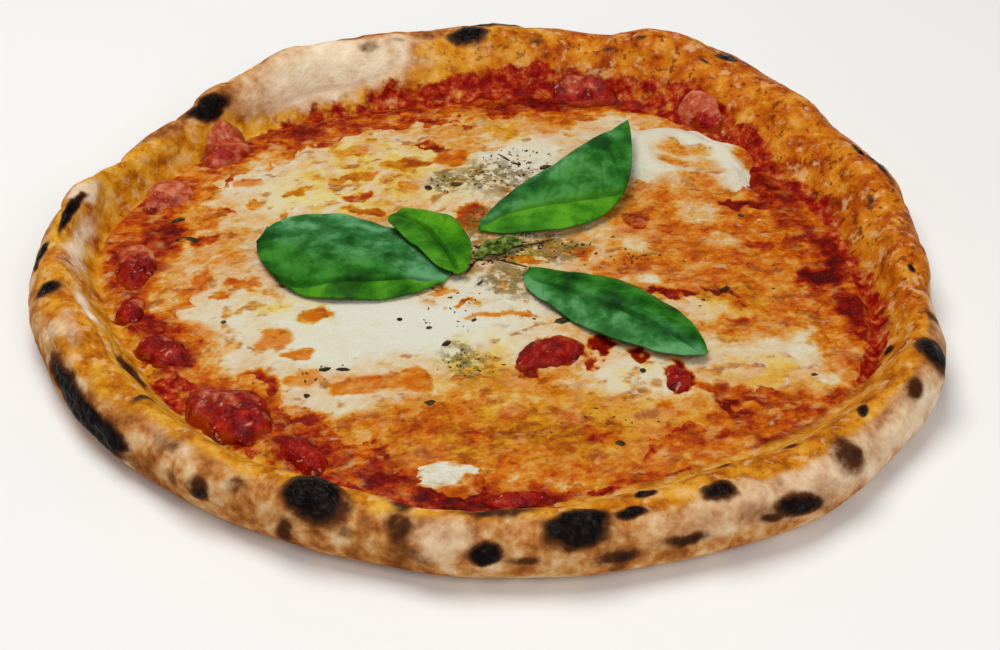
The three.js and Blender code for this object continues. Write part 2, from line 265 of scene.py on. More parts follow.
def dough_top(x, y):
    share = np.clip(climb(x, y, crest_radius), 0, 1)
    height = crest_height(from_middle(x, y)[1])
    return lerp(BASE_THICKNESS, height, np.sin(np.pi / 2 * share**SLOPE_POWER))


def sauce_top(x, y):
    share = np.clip(climb(x, y, sauce_radius), 0, 1)
    return dough_top(x, y) + GAP + SAUCE_DEPTH * (1 - share**2)


def sheet_share(x, y):
    """How far out in the cheese sheet a place lies: 0 at its middle and 1 on its outline."""
    radius, angle = from_middle(x, y, SHEET_MIDDLE)
    return radius / sheet_radius(angle)


def sheet_depth(x, y):
    body = CHEESE_DEPTH + lumps(*SHEET_LUMPS, x, y)
    return body * np.maximum(0, 1 - sheet_share(x, y) ** SHEET_EDGE_POWER)


def rest_on(surface, x, y):
    """The underside of what lies on a surface, clear of every spot close by."""
    spots = [(0, 0), (1, 0), (-1, 0), (0, 1), (0, -1)]
    heights = [surface(x + right * REST_REACH, y + back * REST_REACH) for right, back in spots]
    return GAP + np.max(heights, axis=0)


def layers_top(x, y):
    depth = sheet_depth(x, y)
    return np.where(depth > 0, rest_on(sauce_top, x, y) + depth, sauce_top(x, y))


def piece_underside(x, y):
    return rest_on(layers_top, x, y)


def oval_radius(piece, angle):
    """Radius of a piece's ragged oval outline."""
    turn = np.radians(angle - piece["turn"])
    even = 1 / np.hypot(np.cos(turn) / piece["long"], np.sin(turn) / piece["wide"])
    notches = np.sin(3 * turn + piece["x"]) + 0.6 * np.sin(5 * turn + piece["y"])
    return even * (1 + RAGGED / 2 * notches)


def oval_share(piece, x, y):
    """How far out in a piece a point lies: 0 at its middle and 1 on its outline."""
    radius, angle = from_middle(x, y, (piece["x"], piece["y"]))
    return radius / oval_radius(piece, angle)


def slice_depth(share):
    """The cheese slice keeps a raised round edge about a sunken middle."""
    edge = SLICE_FLOOR + SLICE_LIP["height"] * bell(share, SLICE_LIP["at"], SLICE_LIP["spread"])
    return SLICE["height"] * edge * np.maximum(0, 1 - share**6)


def leaf_underside(x, y):
    def below(x, y):
        share = oval_share(SLICE, x, y)
        return np.where(share < 1, piece_underside(x, y) + slice_depth(share), layers_top(x, y))
    return rest_on(below, x, y)


def outline_middle():
    """Middle of the box round the outline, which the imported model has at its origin."""
    angle = np.arange(OUTLINE_SEGMENTS) * 360 / OUTLINE_SEGMENTS
    x, y = polar(outer_radius(angle), angle)
    return np.array([x.min() + x.max(), y.min() + y.max(), 0]) / 2


MIDDLE = outline_middle()

# ---- Meshes


def turned_faces(rows, segments):
    """Faces between rings of points, closed by a point at either end: point 0 and the last one."""
    ring = np.arange(segments)
    after = (ring + 1) % segments
    here = 1 + np.arange(rows - 1)[:, None] * segments
    above = here + segments
    quads = np.stack([here + ring, here + after, above + after, above + ring], axis=-1)
    end = np.full_like(ring, 1 + rows * segments)
    first_cap = np.stack([np.zeros_like(ring), 1 + after, 1 + ring], axis=-1)
    last_cap = np.stack([end - segments + ring, end - segments + after, end], axis=-1)
    return quads.reshape(-1, 4).tolist() + first_cap.tolist() + last_cap.tolist()


def turned_corners(rings, first, last):
    """The points that turned_faces joins: the first end, rings from the underside up, the last end."""
    return np.concatenate([[first], np.reshape(rings, (-1, 3)), [last]])


def add_object(name, data):
    made = bpy.data.objects.new(name, data)
    bpy.context.scene.collection.objects.link(made)
    return made


def make_piece(name, corners, faces, material, masks):
    """A smooth mesh that rides on the pizza, with its masks as point attributes."""
    mesh = bpy.data.meshes.new(name)
    mesh.from_pydata(((corners - MIDDLE) * METRES).tolist(), [], faces)
    for mask_name, values in masks.items():
        attribute = mesh.attributes.new(mask_name, "FLOAT", "POINT")
        attribute.data.foreach_set("value", np.ascontiguousarray(values, dtype=np.float32).ravel())
    mesh.shade_smooth()
    mesh.materials.append(material)
    mesh.validate()
    piece = add_object(name, mesh)
    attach(piece, BODY)
    return piece


def dress(node_name, corners, faces, material, masks):
    """A detailed piece that takes the place of one solid of the part."""
    piece = make_piece(f"{node_name}_dressed", corners, faces, material, masks)
    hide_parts(node_name)


# ---- Patches: soft-edged marks that masks are made of

PATCH_EDGE = 0.25  # share of a patch's size over which it fades, to either side of its outline
SHIFT_SEED = 50  # added to the seed of a shift to the right, for the shift back that goes with it


def patch_reach(patch, right, back):
    """How far out in an oval patch an offset from its middle lies: 0 at the middle, 1 on the edge."""
    long, wide, turn = patch
    turn = np.radians(turn)
    along = (right * np.cos(turn) + back * np.sin(turn)) / long
    across = (back * np.cos(turn) - right * np.sin(turn)) / wide
    return np.hypot(along, across)


def patch_strength(patch, right, back, edge):
    """1 inside a patch and 0 outside, over a soft edge."""
    return smoothstep(1 + edge, 1 - edge, patch_reach(patch, right, back))


def shifts(spots, ragged, size, seed):
    """Two small random shifts for each spot, which make the edges of what is drawn there ragged."""
    return (ragged * layered(spots, size, number) for number in (seed, seed + SHIFT_SEED))


def marks(patches, x, y, ragged, size, seed, edge=PATCH_EDGE):
    """The strongest of several flat patches (x, y, long, wide, turn)."""
    right, back = shifts(flat(x, y), ragged, size, seed)
    strength = np.zeros(np.shape(x))
    for middle_x, middle_y, *patch in patches:
        nearness = patch_strength(patch, x + right - middle_x, y + back - middle_y, edge)
        strength = np.maximum(strength, nearness)
    return strength


def toned(tones, start, x, y, ragged, size, seed, edge=0.5):
    """A tone for each place: the start value, drawn to the own tone of each patch in turn."""
    right, back = shifts(flat(x, y), ragged, size, seed)
    tone = start + np.zeros(np.shape(x))
    for middle_x, middle_y, *patch, value in tones:
        tone = lerp(tone, value, patch_strength(patch, x + right - middle_x, y + back - middle_y, edge))
    return tone


# ---- Materials


def hex_colour(code):
    """The linear colour of a usual hexadecimal code."""
    parts = [int(code[i:i + 2], 16) / 255 for i in (0, 2, 4)]
    return tuple(((p + 0.055) / 1.055) ** 2.4 if p > 0.04045 else p / 12.92 for p in parts) + (1,)


def feed(socket, value):
    """Sets a socket to a number, place or colour code, or links a node's output to it."""
    if isinstance(value, Output):
        socket.id_data.links.new(value.socket, socket)
    elif value is not None:
        socket.default_value = hex_colour(value) if isinstance(value, str) else value


def add_node(tree, kind, *values, out=0, **properties):
    """One output of a new node, whose first sockets are fed in order."""
    made = tree.nodes.new(kind)
    for name, value in properties.items():
        setattr(made, name, value)
    for socket, value in zip(made.inputs, values):
        feed(socket, value)
    return Output(made.outputs[out])


class Output:
    """What a node gives at each place of a surface. Numbers can be added and multiplied."""

    def __init__(self, socket):
        self.socket = socket
        self.tree = socket.id_data

    def __add__(self, other):
        return add_node(self.tree, "ShaderNodeMath", self, other, operation="ADD")

    def __radd__(self, other):
        return add_node(self.tree, "ShaderNodeMath", other, self, operation="ADD")

    def __sub__(self, other):
        return self + -other

    def __mul__(self, other):
        return add_node(self.tree, "ShaderNodeMath", self, other, operation="MULTIPLY")

    def above(self, low, high):
        """0 up to low and 1 from high on, with a smooth passage; the other way round if low is higher."""
        return add_node(
            self.tree, "ShaderNodeMapRange", self, low, high, 0.0, 1.0, interpolation_type="SMOOTHSTEP"
        )

    def ramp(self, *stops):
        """A colour for each value, from stops of (value, colour)."""
        made = self.tree.nodes.new("ShaderNodeValToRGB")
        elements = made.color_ramp.elements
        while len(elements) < len(stops):
            elements.new(0.5)
        for element, (place, code) in zip(elements, stops):
            element.position = place
            element.color = hex_colour(code)
        feed(made.inputs[0], self)
        return Output(made.outputs[0])

    def mix(self, first, second):
        """The first colour where this is 0 and the second where it is 1."""
        skipped = [None] * 5  # the sockets for mixing numbers and vectors
        return add_node(self.tree, "ShaderNodeMix", self, *skipped, first, second, out=2, data_type="RGBA")

    def bump(self, depth, below=None):
        """A normal bent by this as a height from 0 to 1, over a depth in millimetres."""
        made = self.tree.nodes.new("ShaderNodeBump")
        for name, value in (("Distance", depth * METRES), ("Height", self), ("Normal", below)):
            feed(made.inputs[name], value)
        return Output(made.outputs[0])


class Look:
    """One procedural material. Sizes are in millimetres, and colours are hexadecimal codes."""

    def __init__(self, name, specular=0.5):
        self.material = bpy.data.materials.new(name)
        self.material.use_nodes = True
        self.tree = self.material.node_tree
        self.surface = self.tree.nodes["Principled BSDF"].inputs
        self.surface["Specular IOR Level"].default_value = specular
        self.place = add_node(self.tree, "ShaderNodeTexCoord", out="Object")

    def mask(self, name):
        return add_node(self.tree, "ShaderNodeAttribute", attribute_name=name, out="Fac")

    def spots(self, shift, stretch=1.0, turn=0.0):
        """The surface's place, shifted as a seed and stretched along a direction on the pizza."""
        turned = add_node(self.tree, "ShaderNodeMapping", self.place, (0, 0, 0), (0, 0, -np.radians(turn)))
        move, scale = (shift, shift * 1.7, 0), (1 / stretch, 1, 1)
        return add_node(self.tree, "ShaderNodeMapping", turned, move, (0, 0, 0), scale)

    def cloud(self, size, detail, rough, *spots):
        """Noise from 0 to 1 with lumps about `size` across."""
        scale = 1 / (size * METRES)
        return add_node(self.tree, "ShaderNodeTexNoise", self.spots(*spots), None, scale, detail, rough)

    def cells(self, size, feature="F1"):
        """Distances within a pattern of cells about `size` across."""
        scale = 1 / (size * METRES)
        return add_node(self.tree, "ShaderNodeTexVoronoi", self.spots(0.0), None, scale, feature=feature)

    def finish(self, colour, roughness, normal):
        for name, value in (("Base Color", colour), ("Roughness", roughness), ("Normal", normal)):
            feed(self.surface[name], value)
        return self.material


# In the calls for clouds below come the size of the lumps, the detail and roughness of the noise, a
# shift as its seed and, where the lumps are long, how much longer and the turn of their length.


def oily_dough(look):
    """Colour of dough soaked with oil: yellow, or orange where the mask says so."""
    orange = look.mask("orange")
    tone = look.cloud(8.5, 5, 0.64, 5.2)
    yellow = tone.ramp(
        (0.3, "964c08"), (0.41, "be740e"), (0.5, "d6941a"), (0.6, "e2aa3e"), (0.72, "eac482")
    )
    amber = tone.ramp(
        (0.28, "7a2402"), (0.4, "a84604"), (0.5, "c46808"), (0.6, "d2841c"), (0.72, "dfa250")
    )
    colour = orange.mix(yellow, amber)
    burnt = look.cloud(3.6, 4, 0.62, 13.1).above(0.57, 0.63)
    colour = (burnt * (0.15 + orange * 0.65)).mix(colour, "6e2403")
    pale = look.cloud(5.0, 4, 0.6, 14.9).above(0.54, 0.66)
    return (pale * 0.65).mix(colour, "e2b47c")


def smeared(look, colour):
    """Tomato smeared over a colour, in mottles that close up as the mask grows."""
    smear = look.mask("red")
    level = look.cloud(7.0, 5, 0.62, 6.1) + (smear - 0.5) * 0.5
    cover = level.above(0.43, 0.62) * smear.above(0.0, 0.25)
    # The red runs up to pale pink flecks, which are painted highlights on the wet tomato.
    red = look.cloud(4.2, 5, 0.64, 7.7).ramp(
        (0.34, "620401"), (0.46, "8c0b02"), (0.54, "a62c08"), (0.62, "bc5a28"), (0.72, "d09468")
    )
    return cover.mix(colour, red)


def crust_look():
    look = Look("baked_dough", 0.05)
    flour, oil = look.mask("flour"), look.mask("oil")
    broad = look.cloud(19, 3, 0.5, 0.3)
    blotch = look.cloud(8.5, 4, 0.55, 1.1)
    grain = look.cloud(2.6, 4, 0.6, 2.3)
    uneven = (broad - 0.5) * 0.7 + (blotch - 0.5) * 1.15 + (grain - 0.5) * 0.5
    heat = 0.46 + look.mask("toast") * 0.14 + uneven * (1.0 + flour * -0.6)
    dough = heat.ramp(
        (0.22, "e4c49c"), (0.34, "d8ac78"), (0.46, "c88e50"), (0.57, "b46e34"), (0.68, "925626"),
        (0.84, "6e3e16"),
    )
    floury = heat.ramp((0.28, "fdf0d8"), (0.46, "f4e0c0"), (0.6, "dcbe98"), (0.76, "ac8864"))
    dough = flour.mix(dough, floury)

    soaked = oil * (0.5 + blotch * 1.1)
    dough = soaked.above(0.25, 0.8).mix(dough, oily_dough(look))
    dough = smeared(look, dough)

    ragged = 1.0 + (blotch - 0.5) * 1.0 + (grain - 0.5) * 0.8
    char = look.mask("char") * ragged
    dough = char.above(0.06, 0.48).mix(dough, "66381a")
    # Black char, whose palest grey flecks are painted sheen on the glossy burnt skin.
    soot_and_sheen = grain.ramp((0.4, "0a0504"), (0.58, "180e0a"), (0.7, "2a2828"))
    dough = char.above(0.28, 0.72).mix(dough, soot_and_sheen)

    burnt = char.above(0.4, 0.7)
    roughness = 0.85 + oil * -0.35 + burnt * -0.35
    rough_skin = (blotch * 0.6 + grain * 0.4).bump(1.1)
    skin = look.cloud(0.9, 3, 0.6, 8.0).bump(0.14, rough_skin)
    cracks = look.cells(3.4, "DISTANCE_TO_EDGE") * burnt
    return look.finish(dough, roughness, cracks.bump(1.0, skin))


def topping_look(name):
    """Cheese and sauce baked together. Their tone runs from milk white by way of cream, toasted orange
    and oily brown to dark red sauce, and where they thin out over the rim the dough shows."""
    look = Look(name, 0.06)
    base, butter, herbed = look.mask("tone"), look.mask("butter"), look.mask("herbed")
    crumb = look.cloud(5.2, 5, 0.62, 3.1, 1.1, 8)
    strand = look.cloud(2.8, 4, 0.62, 4.7, 1.5, 20)
    grain = look.cloud(1.5, 4, 0.62, 1.9)
    mottle = (crumb - 0.5) * 2.8 + (strand - 0.5) * 1.8 + (grain - 0.5) * 1.1
    tone = base + look.mask("variety") * mottle
    stained = tone.ramp(
        (0.0, "dcdac8"), (0.1, "d9ceb0"), (0.23, "d8b888"), (0.36, "d49640"), (0.48, "cc720a"),
        (0.6, "bc5404"), (0.72, "9c2c02"), (0.83, "7e0b01"), (1.0, "4a0301"),
    )
    buttery = tone.ramp(
        (0.0, "dcd8b0"), (0.12, "dcc878"), (0.26, "dab03a"), (0.4, "d09418"), (0.55, "bc6e08"),
        (0.7, "964604"), (0.85, "6c2404"),
    )
    pools = look.cloud(9, 3, 0.55, 15.3).above(0.4, 0.54)
    colour = (butter * pools).mix(stained, buttery)

    # Toasted flecks on what is white
    white = base.above(0.02, 0.12) * base.above(0.5, 0.34)
    fleck = look.cloud(6.4, 3.5, 0.55, 12.7, 1.3, 12) + butter * 0.06
    toasted = strand.ramp((0.34, "8c4606"), (0.46, "b8700e"), (0.56, "d09424"), (0.68, "dcb464"))
    colour = (fleck.above(0.55, 0.66) * white * 0.9).mix(colour, toasted)

    # Cream and burnt flecks on what is baked orange, and a rosy veil between
    orange_share = base.above(0.24, 0.42) * base.above(0.86, 0.66)
    fat = look.cloud(5.2, 4, 0.6, 8.3, 1.5, 12).above(0.51, 0.66)
    cream = strand.ramp((0.35, "c87416"), (0.48, "d6953c"), (0.62, "deb274"))
    cream = (butter * 0.6).mix(cream, "dc9426")
    colour = (fat * (orange_share * 0.7)).mix(colour, cream)
    brown = look.cloud(4.8, 4, 0.6, 9.9, 1.5, 12).above(0.53, 0.67)
    burnt = grain.ramp((0.4, "7a2c02"), (0.6, "a8500a"))
    colour = (brown * (orange_share * 0.8)).mix(colour, burnt)
    rosy = look.cloud(12, 3, 0.6, 7.3).above(0.5, 0.64) * (base.above(0.08, 0.2) * base.above(0.6, 0.4))
    colour = (rosy * 0.25).mix(colour, "d08c64")

    stain = look.cloud(3.4, 5, 0.66, 17.3) + herbed * 0.13
    stain = stain.above(0.53, 0.64) * herbed
    colour = (stain * 0.8).mix(colour, grain.ramp((0.4, "4c3c08"), (0.6, "8c7028")))
    colour = look.mask("bake").mix(colour, oily_dough(look))
    colour = smeared(look, colour)
    roughness = 0.4 + grain * 0.3 + tone.above(0.6, 0.85) * -0.3
    return look.finish(colour, roughness, (grain * 0.5 + crumb * 0.5).bump(1.2))


def tomato_look():
    look = Look("tomato_flesh", 0.1)
    flesh = look.cloud(5, 4, 0.6, 2.4)
    fine = look.cloud(1.8, 4, 0.6, 5.4)
    colour = flesh.ramp((0.3, "540200"), (0.45, "7e0601"), (0.58, "9a1203"), (0.72, "b4340c"))
    film = look.cloud(8, 4, 0.58, 9.0) + (look.mask("film") - 0.5) * 0.46
    salmon = look.cloud(3.6, 3, 0.5, 6.6).ramp((0.34, "a83a1c"), (0.5, "c25c38"), (0.66, "d88c68"))
    colour = (film.above(0.42, 0.62) * 0.88).mix(colour, salmon)
    edge = look.mask("edge") + (flesh - 0.5) * 2.4
    colour = (edge.above(0.5, 1.0) * 0.75).mix(colour, "963806")
    # Pale pink streaks, which are painted glints on the wet flesh.
    painted_glint = look.cloud(2.4, 4, 0.6, 11.0, 1.6, 40).above(0.62, 0.68)
    colour = (painted_glint * 0.6).mix(colour, "dca48c")
    return look.finish(colour, 0.1 + fine * 0.25, (flesh * 0.5 + fine * 0.5).bump(1.2))


def basil_look():
    look = Look("basil_leaf", 0.06)
    fine = look.cloud(1.3, 4, 0.6, 3.3)
    tone = look.cloud(12, 3, 0.5, 0.9) * 0.85 + fine * 0.15
    green = tone.ramp((0.36, "082e02"), (0.48, "185a02"), (0.6, "2e7a06"))
    # Below: a lighter copy of the green, which is painted light, and a bluish copy, which is painted sheen.
    lit = tone.ramp((0.36, "246004"), (0.48, "3c8204"), (0.6, "5ca00c"))
    painted_sheen = tone.ramp((0.36, "12461a"), (0.48, "2c6e34"), (0.6, "62a070"))
    colour = look.mask("painted_sheen").mix(green, painted_sheen)
    colour = look.mask("lit").mix(colour, lit)
    # Darker veins, and along the fold a dark midrib line that is painted shade in the crease.
    colour = (look.mask("vein") * 0.55).mix(colour, "0a2e02")
    wilted = look.cloud(2.6, 4, 0.6, 3.3).ramp((0.35, "202c06"), (0.48, "4c6218"), (0.62, "8a9a54"))
    colour = look.mask("wilt").mix(colour, wilted)
    return look.finish(colour, 0.4 + fine * 0.15, (fine * 0.6 + look.cells(1.6) * 0.4).bump(0.25))


def herb_look():
    look = Look("dried_herb", 0.2)
    tone = look.cloud(3, 3, 0.6, 0.2)
    colour = tone.ramp((0.35, "1a1206"), (0.5, "3c2c10"), (0.65, "5e5828"))
    return look.finish(colour, 0.7, tone.bump(0.2))


def floor_look():
    look = Look("pale_floor")
    tone = look.cloud(400, 2, 0.55, 0.0)
    return look.finish(tone.ramp((0.3, "f2f1ef"), (0.7, "f5f4f2")), 0.8, tone.bump(0.1))


# ---- Crust

CRUST_SEGMENTS = 900
CURL_ROWS = 14
OUTSIDE_ROWS = 30
SLOPE_ROWS = 34
UNDERSIDE_SHARES = (0.3, 0.6, 0.85, 0.95)
WELL_SHARES = (0.985, 0.95, 0.85, 0.6, 0.3)
FOOT_WEIGHT = 0.3  # share of the relief that is left at the foot of the slope

# Marks on the rim: angle, distance outward from the crest line over the surface, half length round
# the rim, half width across it, turn, and its strength where that isn't 1. Char above 0.5 is black.
CHAR_SPOTS = [
    (251.2, 5, 9, 7, 0, 1.1), (248, 19, 3, 6, 20, 0.5), (280.8, 7.2, 9, 5, -8, 1.1),
    (270.6, 13.5, 5, 3.8, 0, 1), (286.8, 5, 4, 2.4, 0, 0.95), (296.6, 6.4, 4.4, 3, 0, 0.9),
    (289.4, -2, 3.2, 1.9, 0, 0.9), (334, 7.5, 6.4, 6.4, 0, 1.1), (336.8, -15, 2.8, 2, -30, 0.8),
    (236.8, 13.4, 3.6, 3.2, 0, 0.62), (211.5, -14, 11, 4, 10, 1), (215, 16, 24, 5, 4, 1),
    (222.5, 14, 7, 3.4, 0, 0.95), (193.4, 3.6, 3, 4.6, -10, 1), (187, -4, 2.5, 0.8, -40, 0.5),
    (184, 6.8, 7, 2.4, 12, 1), (175, -2, 12, 1.8, 6, 0.8), (140, -2.6, 9.5, 4, 14, 0.95),
    (92, -1, 8, 5, 0, 0.85), (51, 6, 4, 3.6, 0, 0.9), (18, 6.6, 15, 1.4, 0, 0.8), (87, 8, 12, 4, 0, 0.7),
    (284, 18.5, 6.5, 3.6, 0, 0.6), (291.5, 18, 7, 2.8, 8, 0.55), (304.3, 17.6, 6.8, 3.4, 6, 0.8),
    (301, 19, 4, 2, 0, 0.5), (312.5, 9, 5, 7, 0, 0.5), (326.8, 8, 3.6, 3.6, 0, 0.55),
    (342.6, 6, 3.2, 3.2, 0, 0.5), (261.2, 7, 4.4, 5.6, 0, 0.46), (255, 12, 3, 2.4, 0, 0.34),
    (263, 15, 6, 3, 0, 0.34), (274.5, 17, 6, 2.4, 0, 0.4), (222, -3, 2, 5, 0, 0.45),
    (231, 6, 3.6, 2.6, 0, 0.3), (241, 8, 3.4, 3, 0, 0.34), (233, 15, 3.4, 2.6, 0, 0.34),
    (109, -5, 5, 2.6, 0, 0.3), (104, -2, 4, 2, 0, 0.3), (64, -3, 3, 1.4, 0, 0.5),
    (53, -3, 4, 1.2, 20, 0.45), (69, -7, 3, 1.4, 0, 0.45), (80, -5, 4, 1.6, 0, 0.4),
    (351, -0.5, 2, 1, 0, 0.7), (9, -4, 3, 1.6, 0, 0.4), (320.5, -2, 4, 1.6, -30, 0.7),
    (272, -1, 12, 2.6, 0, 0.5), (261, -3, 4, 6, 0, 0.6), (309, -5, 3, 2.4, 0, 0.6), (300, -7, 3, 2, 0, 0.5),
]
TOASTED = [
    (262, 9, 30, 9, 0, 0.5), (300, 12, 26, 8, 0, 0.7), (249, 22, 50, 5, 0), (290, 23, 40, 4, 0),
    (18, 3, 30, 8, 0, 1.3), (153, 2, 26, 9, 0, 1.2), (50, 8, 60, 8, 0, 1.4), (218, 3, 40, 6, 0, 0.8),
    (110, 5, 26, 3, 0), (134, -2, 8, 6, 0),
]
FLOURED = [
    (115, -12, 43, 11.5, 0), (266, 8, 8, 6, 0, 0.5), (230, 2, 8, 5, 0, 0.4), (318, 13, 62, 8, 0, 0.55),
    (345, 10, 24, 6, 0, 0.5), (180, -9, 26, 6, 8, 0.9), (197, -9, 14, 6, 0, 0.9), (204, 3, 14, 5, 0, 0.7),
    (170, -2, 12, 5, 0, 0.9),
]
RIM_MARK_SIZE = 7  # size of the bites in a mark's edge
# How far past the crest the oily part of the slope reaches, as swells, and how far into the well.
OIL_SWELLS = [
    (75, 13, 24), (35, 13, 26), (2, 11, 18), (335, 3, 16), (192, 8, 18), (157, 5, 12), (121, -15, 24),
    (215, 6, 14), (236, 3, 10), (254, 6, 11), (286, 6, 12), (307, 5, 13),
]
OIL_REACH_IN = 16.0
# Where that part is orange, and how far out on the slope tomato is smeared.
ORANGE_ROUND = [
    (60, 1.1, 36), (5, 0.9, 34), (340, 0.3, 12), (295, 0.4, 24), (152, 0.4, 12), (186, 0.25, 14),
    (206, 0.4, 14),
]
SMEAR_REACH = -19.0
SMEAR_SWELLS = [
    (82, 6, 13), (48, 6, 14), (15, 1, 16), (347, 7, 9), (118, -4, 14), (185, -8, 28), (232, -6, 12),
    (307, -10, 18), (333, 0, 8),
]
# Bubbles under the skin: as a mark, with the bubble's height.
BUBBLES = [
    (251, 6, 12, 10, 0, 2.4), (280, 8, 13, 9, 0, 2), (236.5, 8, 11, 10, 0, 2), (265, 7, 13, 11, 0, 2.2),
    (297, 7, 12, 10, 0, 2.1), (312, 6, 13, 11, 0, 1.8), (331, 5, 14, 10, 0, 2.3), (219, 0, 17, 12, 0, 2.4),
    (203, -4, 16, 14, 8, 2.6), (187, -5, 15, 12, -8, 2.6), (170, -2, 13, 11, 0, 2.2),
    (151, 3, 16, 12, 0, 2.4), (121, -7, 46, 12, 0, 2.4), (137, 2, 9, 7, 0, 1.8), (88, 0, 15, 9, 0, 1.8),
    (62, 2, 21, 13, 0, 2.3), (36, 2, 18, 12, 0, 2.2), (14, 1, 18, 11, 0, 2), (354, 1, 15, 10, 0, 1.9),
    (72, -14, 12, 7, 0, 1.6), (47, -13, 13, 7, 0, 1.6), (28, -13, 12, 7, 0, 1.5), (8, -13, 13, 7, 0, 1.5),
]
BUBBLE_DIP = 1.2  # how far the skin sinks between the bubbles
# Where the skin lies in folds, as a flat mark, and how high and close the folds are.
FOLDED = [(-122, -58, 20, 16, 50)]
FOLD = {"height": 0.45, "pace": 1.15}
FLOUR_DRIES = 0.75  # share of the oil that full flour takes up
# Unevenness of a surface: height, then size, seed and number of layers of the noise.
CRUST_RELIEF = [(1.7, 30, 3, 2), (0.8, 11, 5, 2), (0.3, 3.6, 7)]
CHAR_RELIEF = (2.4, 13)  # size and seed


def relief(spots, *layers):
    """Unevenness made of several noises, each with its own height."""
    return sum(height * layered(spots, *settings) for height, *settings in layers)


def crust_rows(angle):
    """Radius, height and weight of the relief on each row, from the underside out and over the rim."""
    outer, well = outer_radius(angle), well_radius(angle)
    crest, height = crest_radius(angle), crest_height(angle)
    level = np.zeros_like(angle)
    rows = [(share * (outer - UNDERCUT), level, 0.0) for share in UNDERSIDE_SHARES]
    for share in np.arange(CURL_ROWS + 1) / CURL_ROWS:
        turn = np.pi / 2 * share
        lift = WIDEST_SHARE * height * (1 - np.cos(turn))
        rows.append((outer - UNDERCUT * (1 - np.sin(turn)), lift, share**2))
    for share in np.arange(1, OUTSIDE_ROWS + 1) / OUTSIDE_ROWS:
        turn = np.pi / 2 * share
        lift = lerp(WIDEST_SHARE, 1, np.sin(turn)) * height
        rows.append((lerp(crest, outer, np.cos(turn)), lift, 1.0))
    for share in 1 - np.arange(1, SLOPE_ROWS + 1) / SLOPE_ROWS:
        radius = lerp(well, crest, share)
        rows.append((radius, dough_top(*polar(radius, angle)), lerp(FOOT_WEIGHT, 1, share)))
    rows += [(share * well, level + BASE_THICKNESS, 0.0) for share in WELL_SHARES]
    return rows


def rim_spots(angle, across):
    """Spots for noise on the rim: round a circle, and outward over the surface."""
    return np.stack([*polar(PIZZA_RADIUS, angle), across], axis=-1)


def round_rim(at, angle):
    """Distances along the rim from an angle."""
    return np.radians(turn_between(at, angle)) * PIZZA_RADIUS


def rim_marks(patches, angle, across, ragged, seed):
    """The strongest of several marks on the rim: a mark's own strength, fading over its edge."""
    shift, lift = shifts(rim_spots(angle, across), ragged, RIM_MARK_SIZE, seed)
    total = np.zeros(angle.shape)
    for at, out, long, wide, turn, *strength in patches:
        reach = patch_reach((long, wide, turn), round_rim(at, angle) + shift, across - out + lift)
        total = np.maximum(total, (strength[0] if strength else 1) * np.clip(1.5 - reach, 0, 1))
    return total


def across_from_crest(radius, angle):
    """Distance inward from the crest, over the slope, as a negative number."""
    x, y = polar(radius, angle)
    return -np.hypot(crest_radius(angle) - radius, crest_height(angle) - dough_top(x, y))


def slope_masks(angle, across):
    """Where oil and tomato colour the inner slope of the rim."""
    spots = rim_spots(angle, across)
    ragged = 4.5 * layered(spots, 18, 31)
    return {
        "oil": smoothstep(5, -5, across - swollen(0, OIL_SWELLS, angle) - ragged),
        "orange": np.clip(swollen(0, ORANGE_ROUND, angle) + 0.3 * noise(spots, 20, 33), 0, 1),
        "red": 0.8 * smoothstep(6, -6, across - swollen(SMEAR_REACH, SMEAR_SWELLS, angle) - ragged),
    }


def surface_normals(rings):
    """Outward normals of closed rings of points."""
    along = np.roll(rings, -1, axis=1) - np.roll(rings, 1, axis=1)
    normals = np.cross(along, np.gradient(rings, axis=0))
    return normals / np.maximum(np.linalg.norm(normals, axis=-1, keepdims=True), 1e-9)


def bubble_relief(angle, across):
    """Domes with a crease where two of them meet."""
    total = np.zeros(angle.shape)
    for at, out, *patch, height in BUBBLES:
        reach = patch_reach(patch, round_rim(at, angle), across - out)
        total = np.maximum(total, height * np.sqrt(np.maximum(0, 1 - reach**2)))
    return total


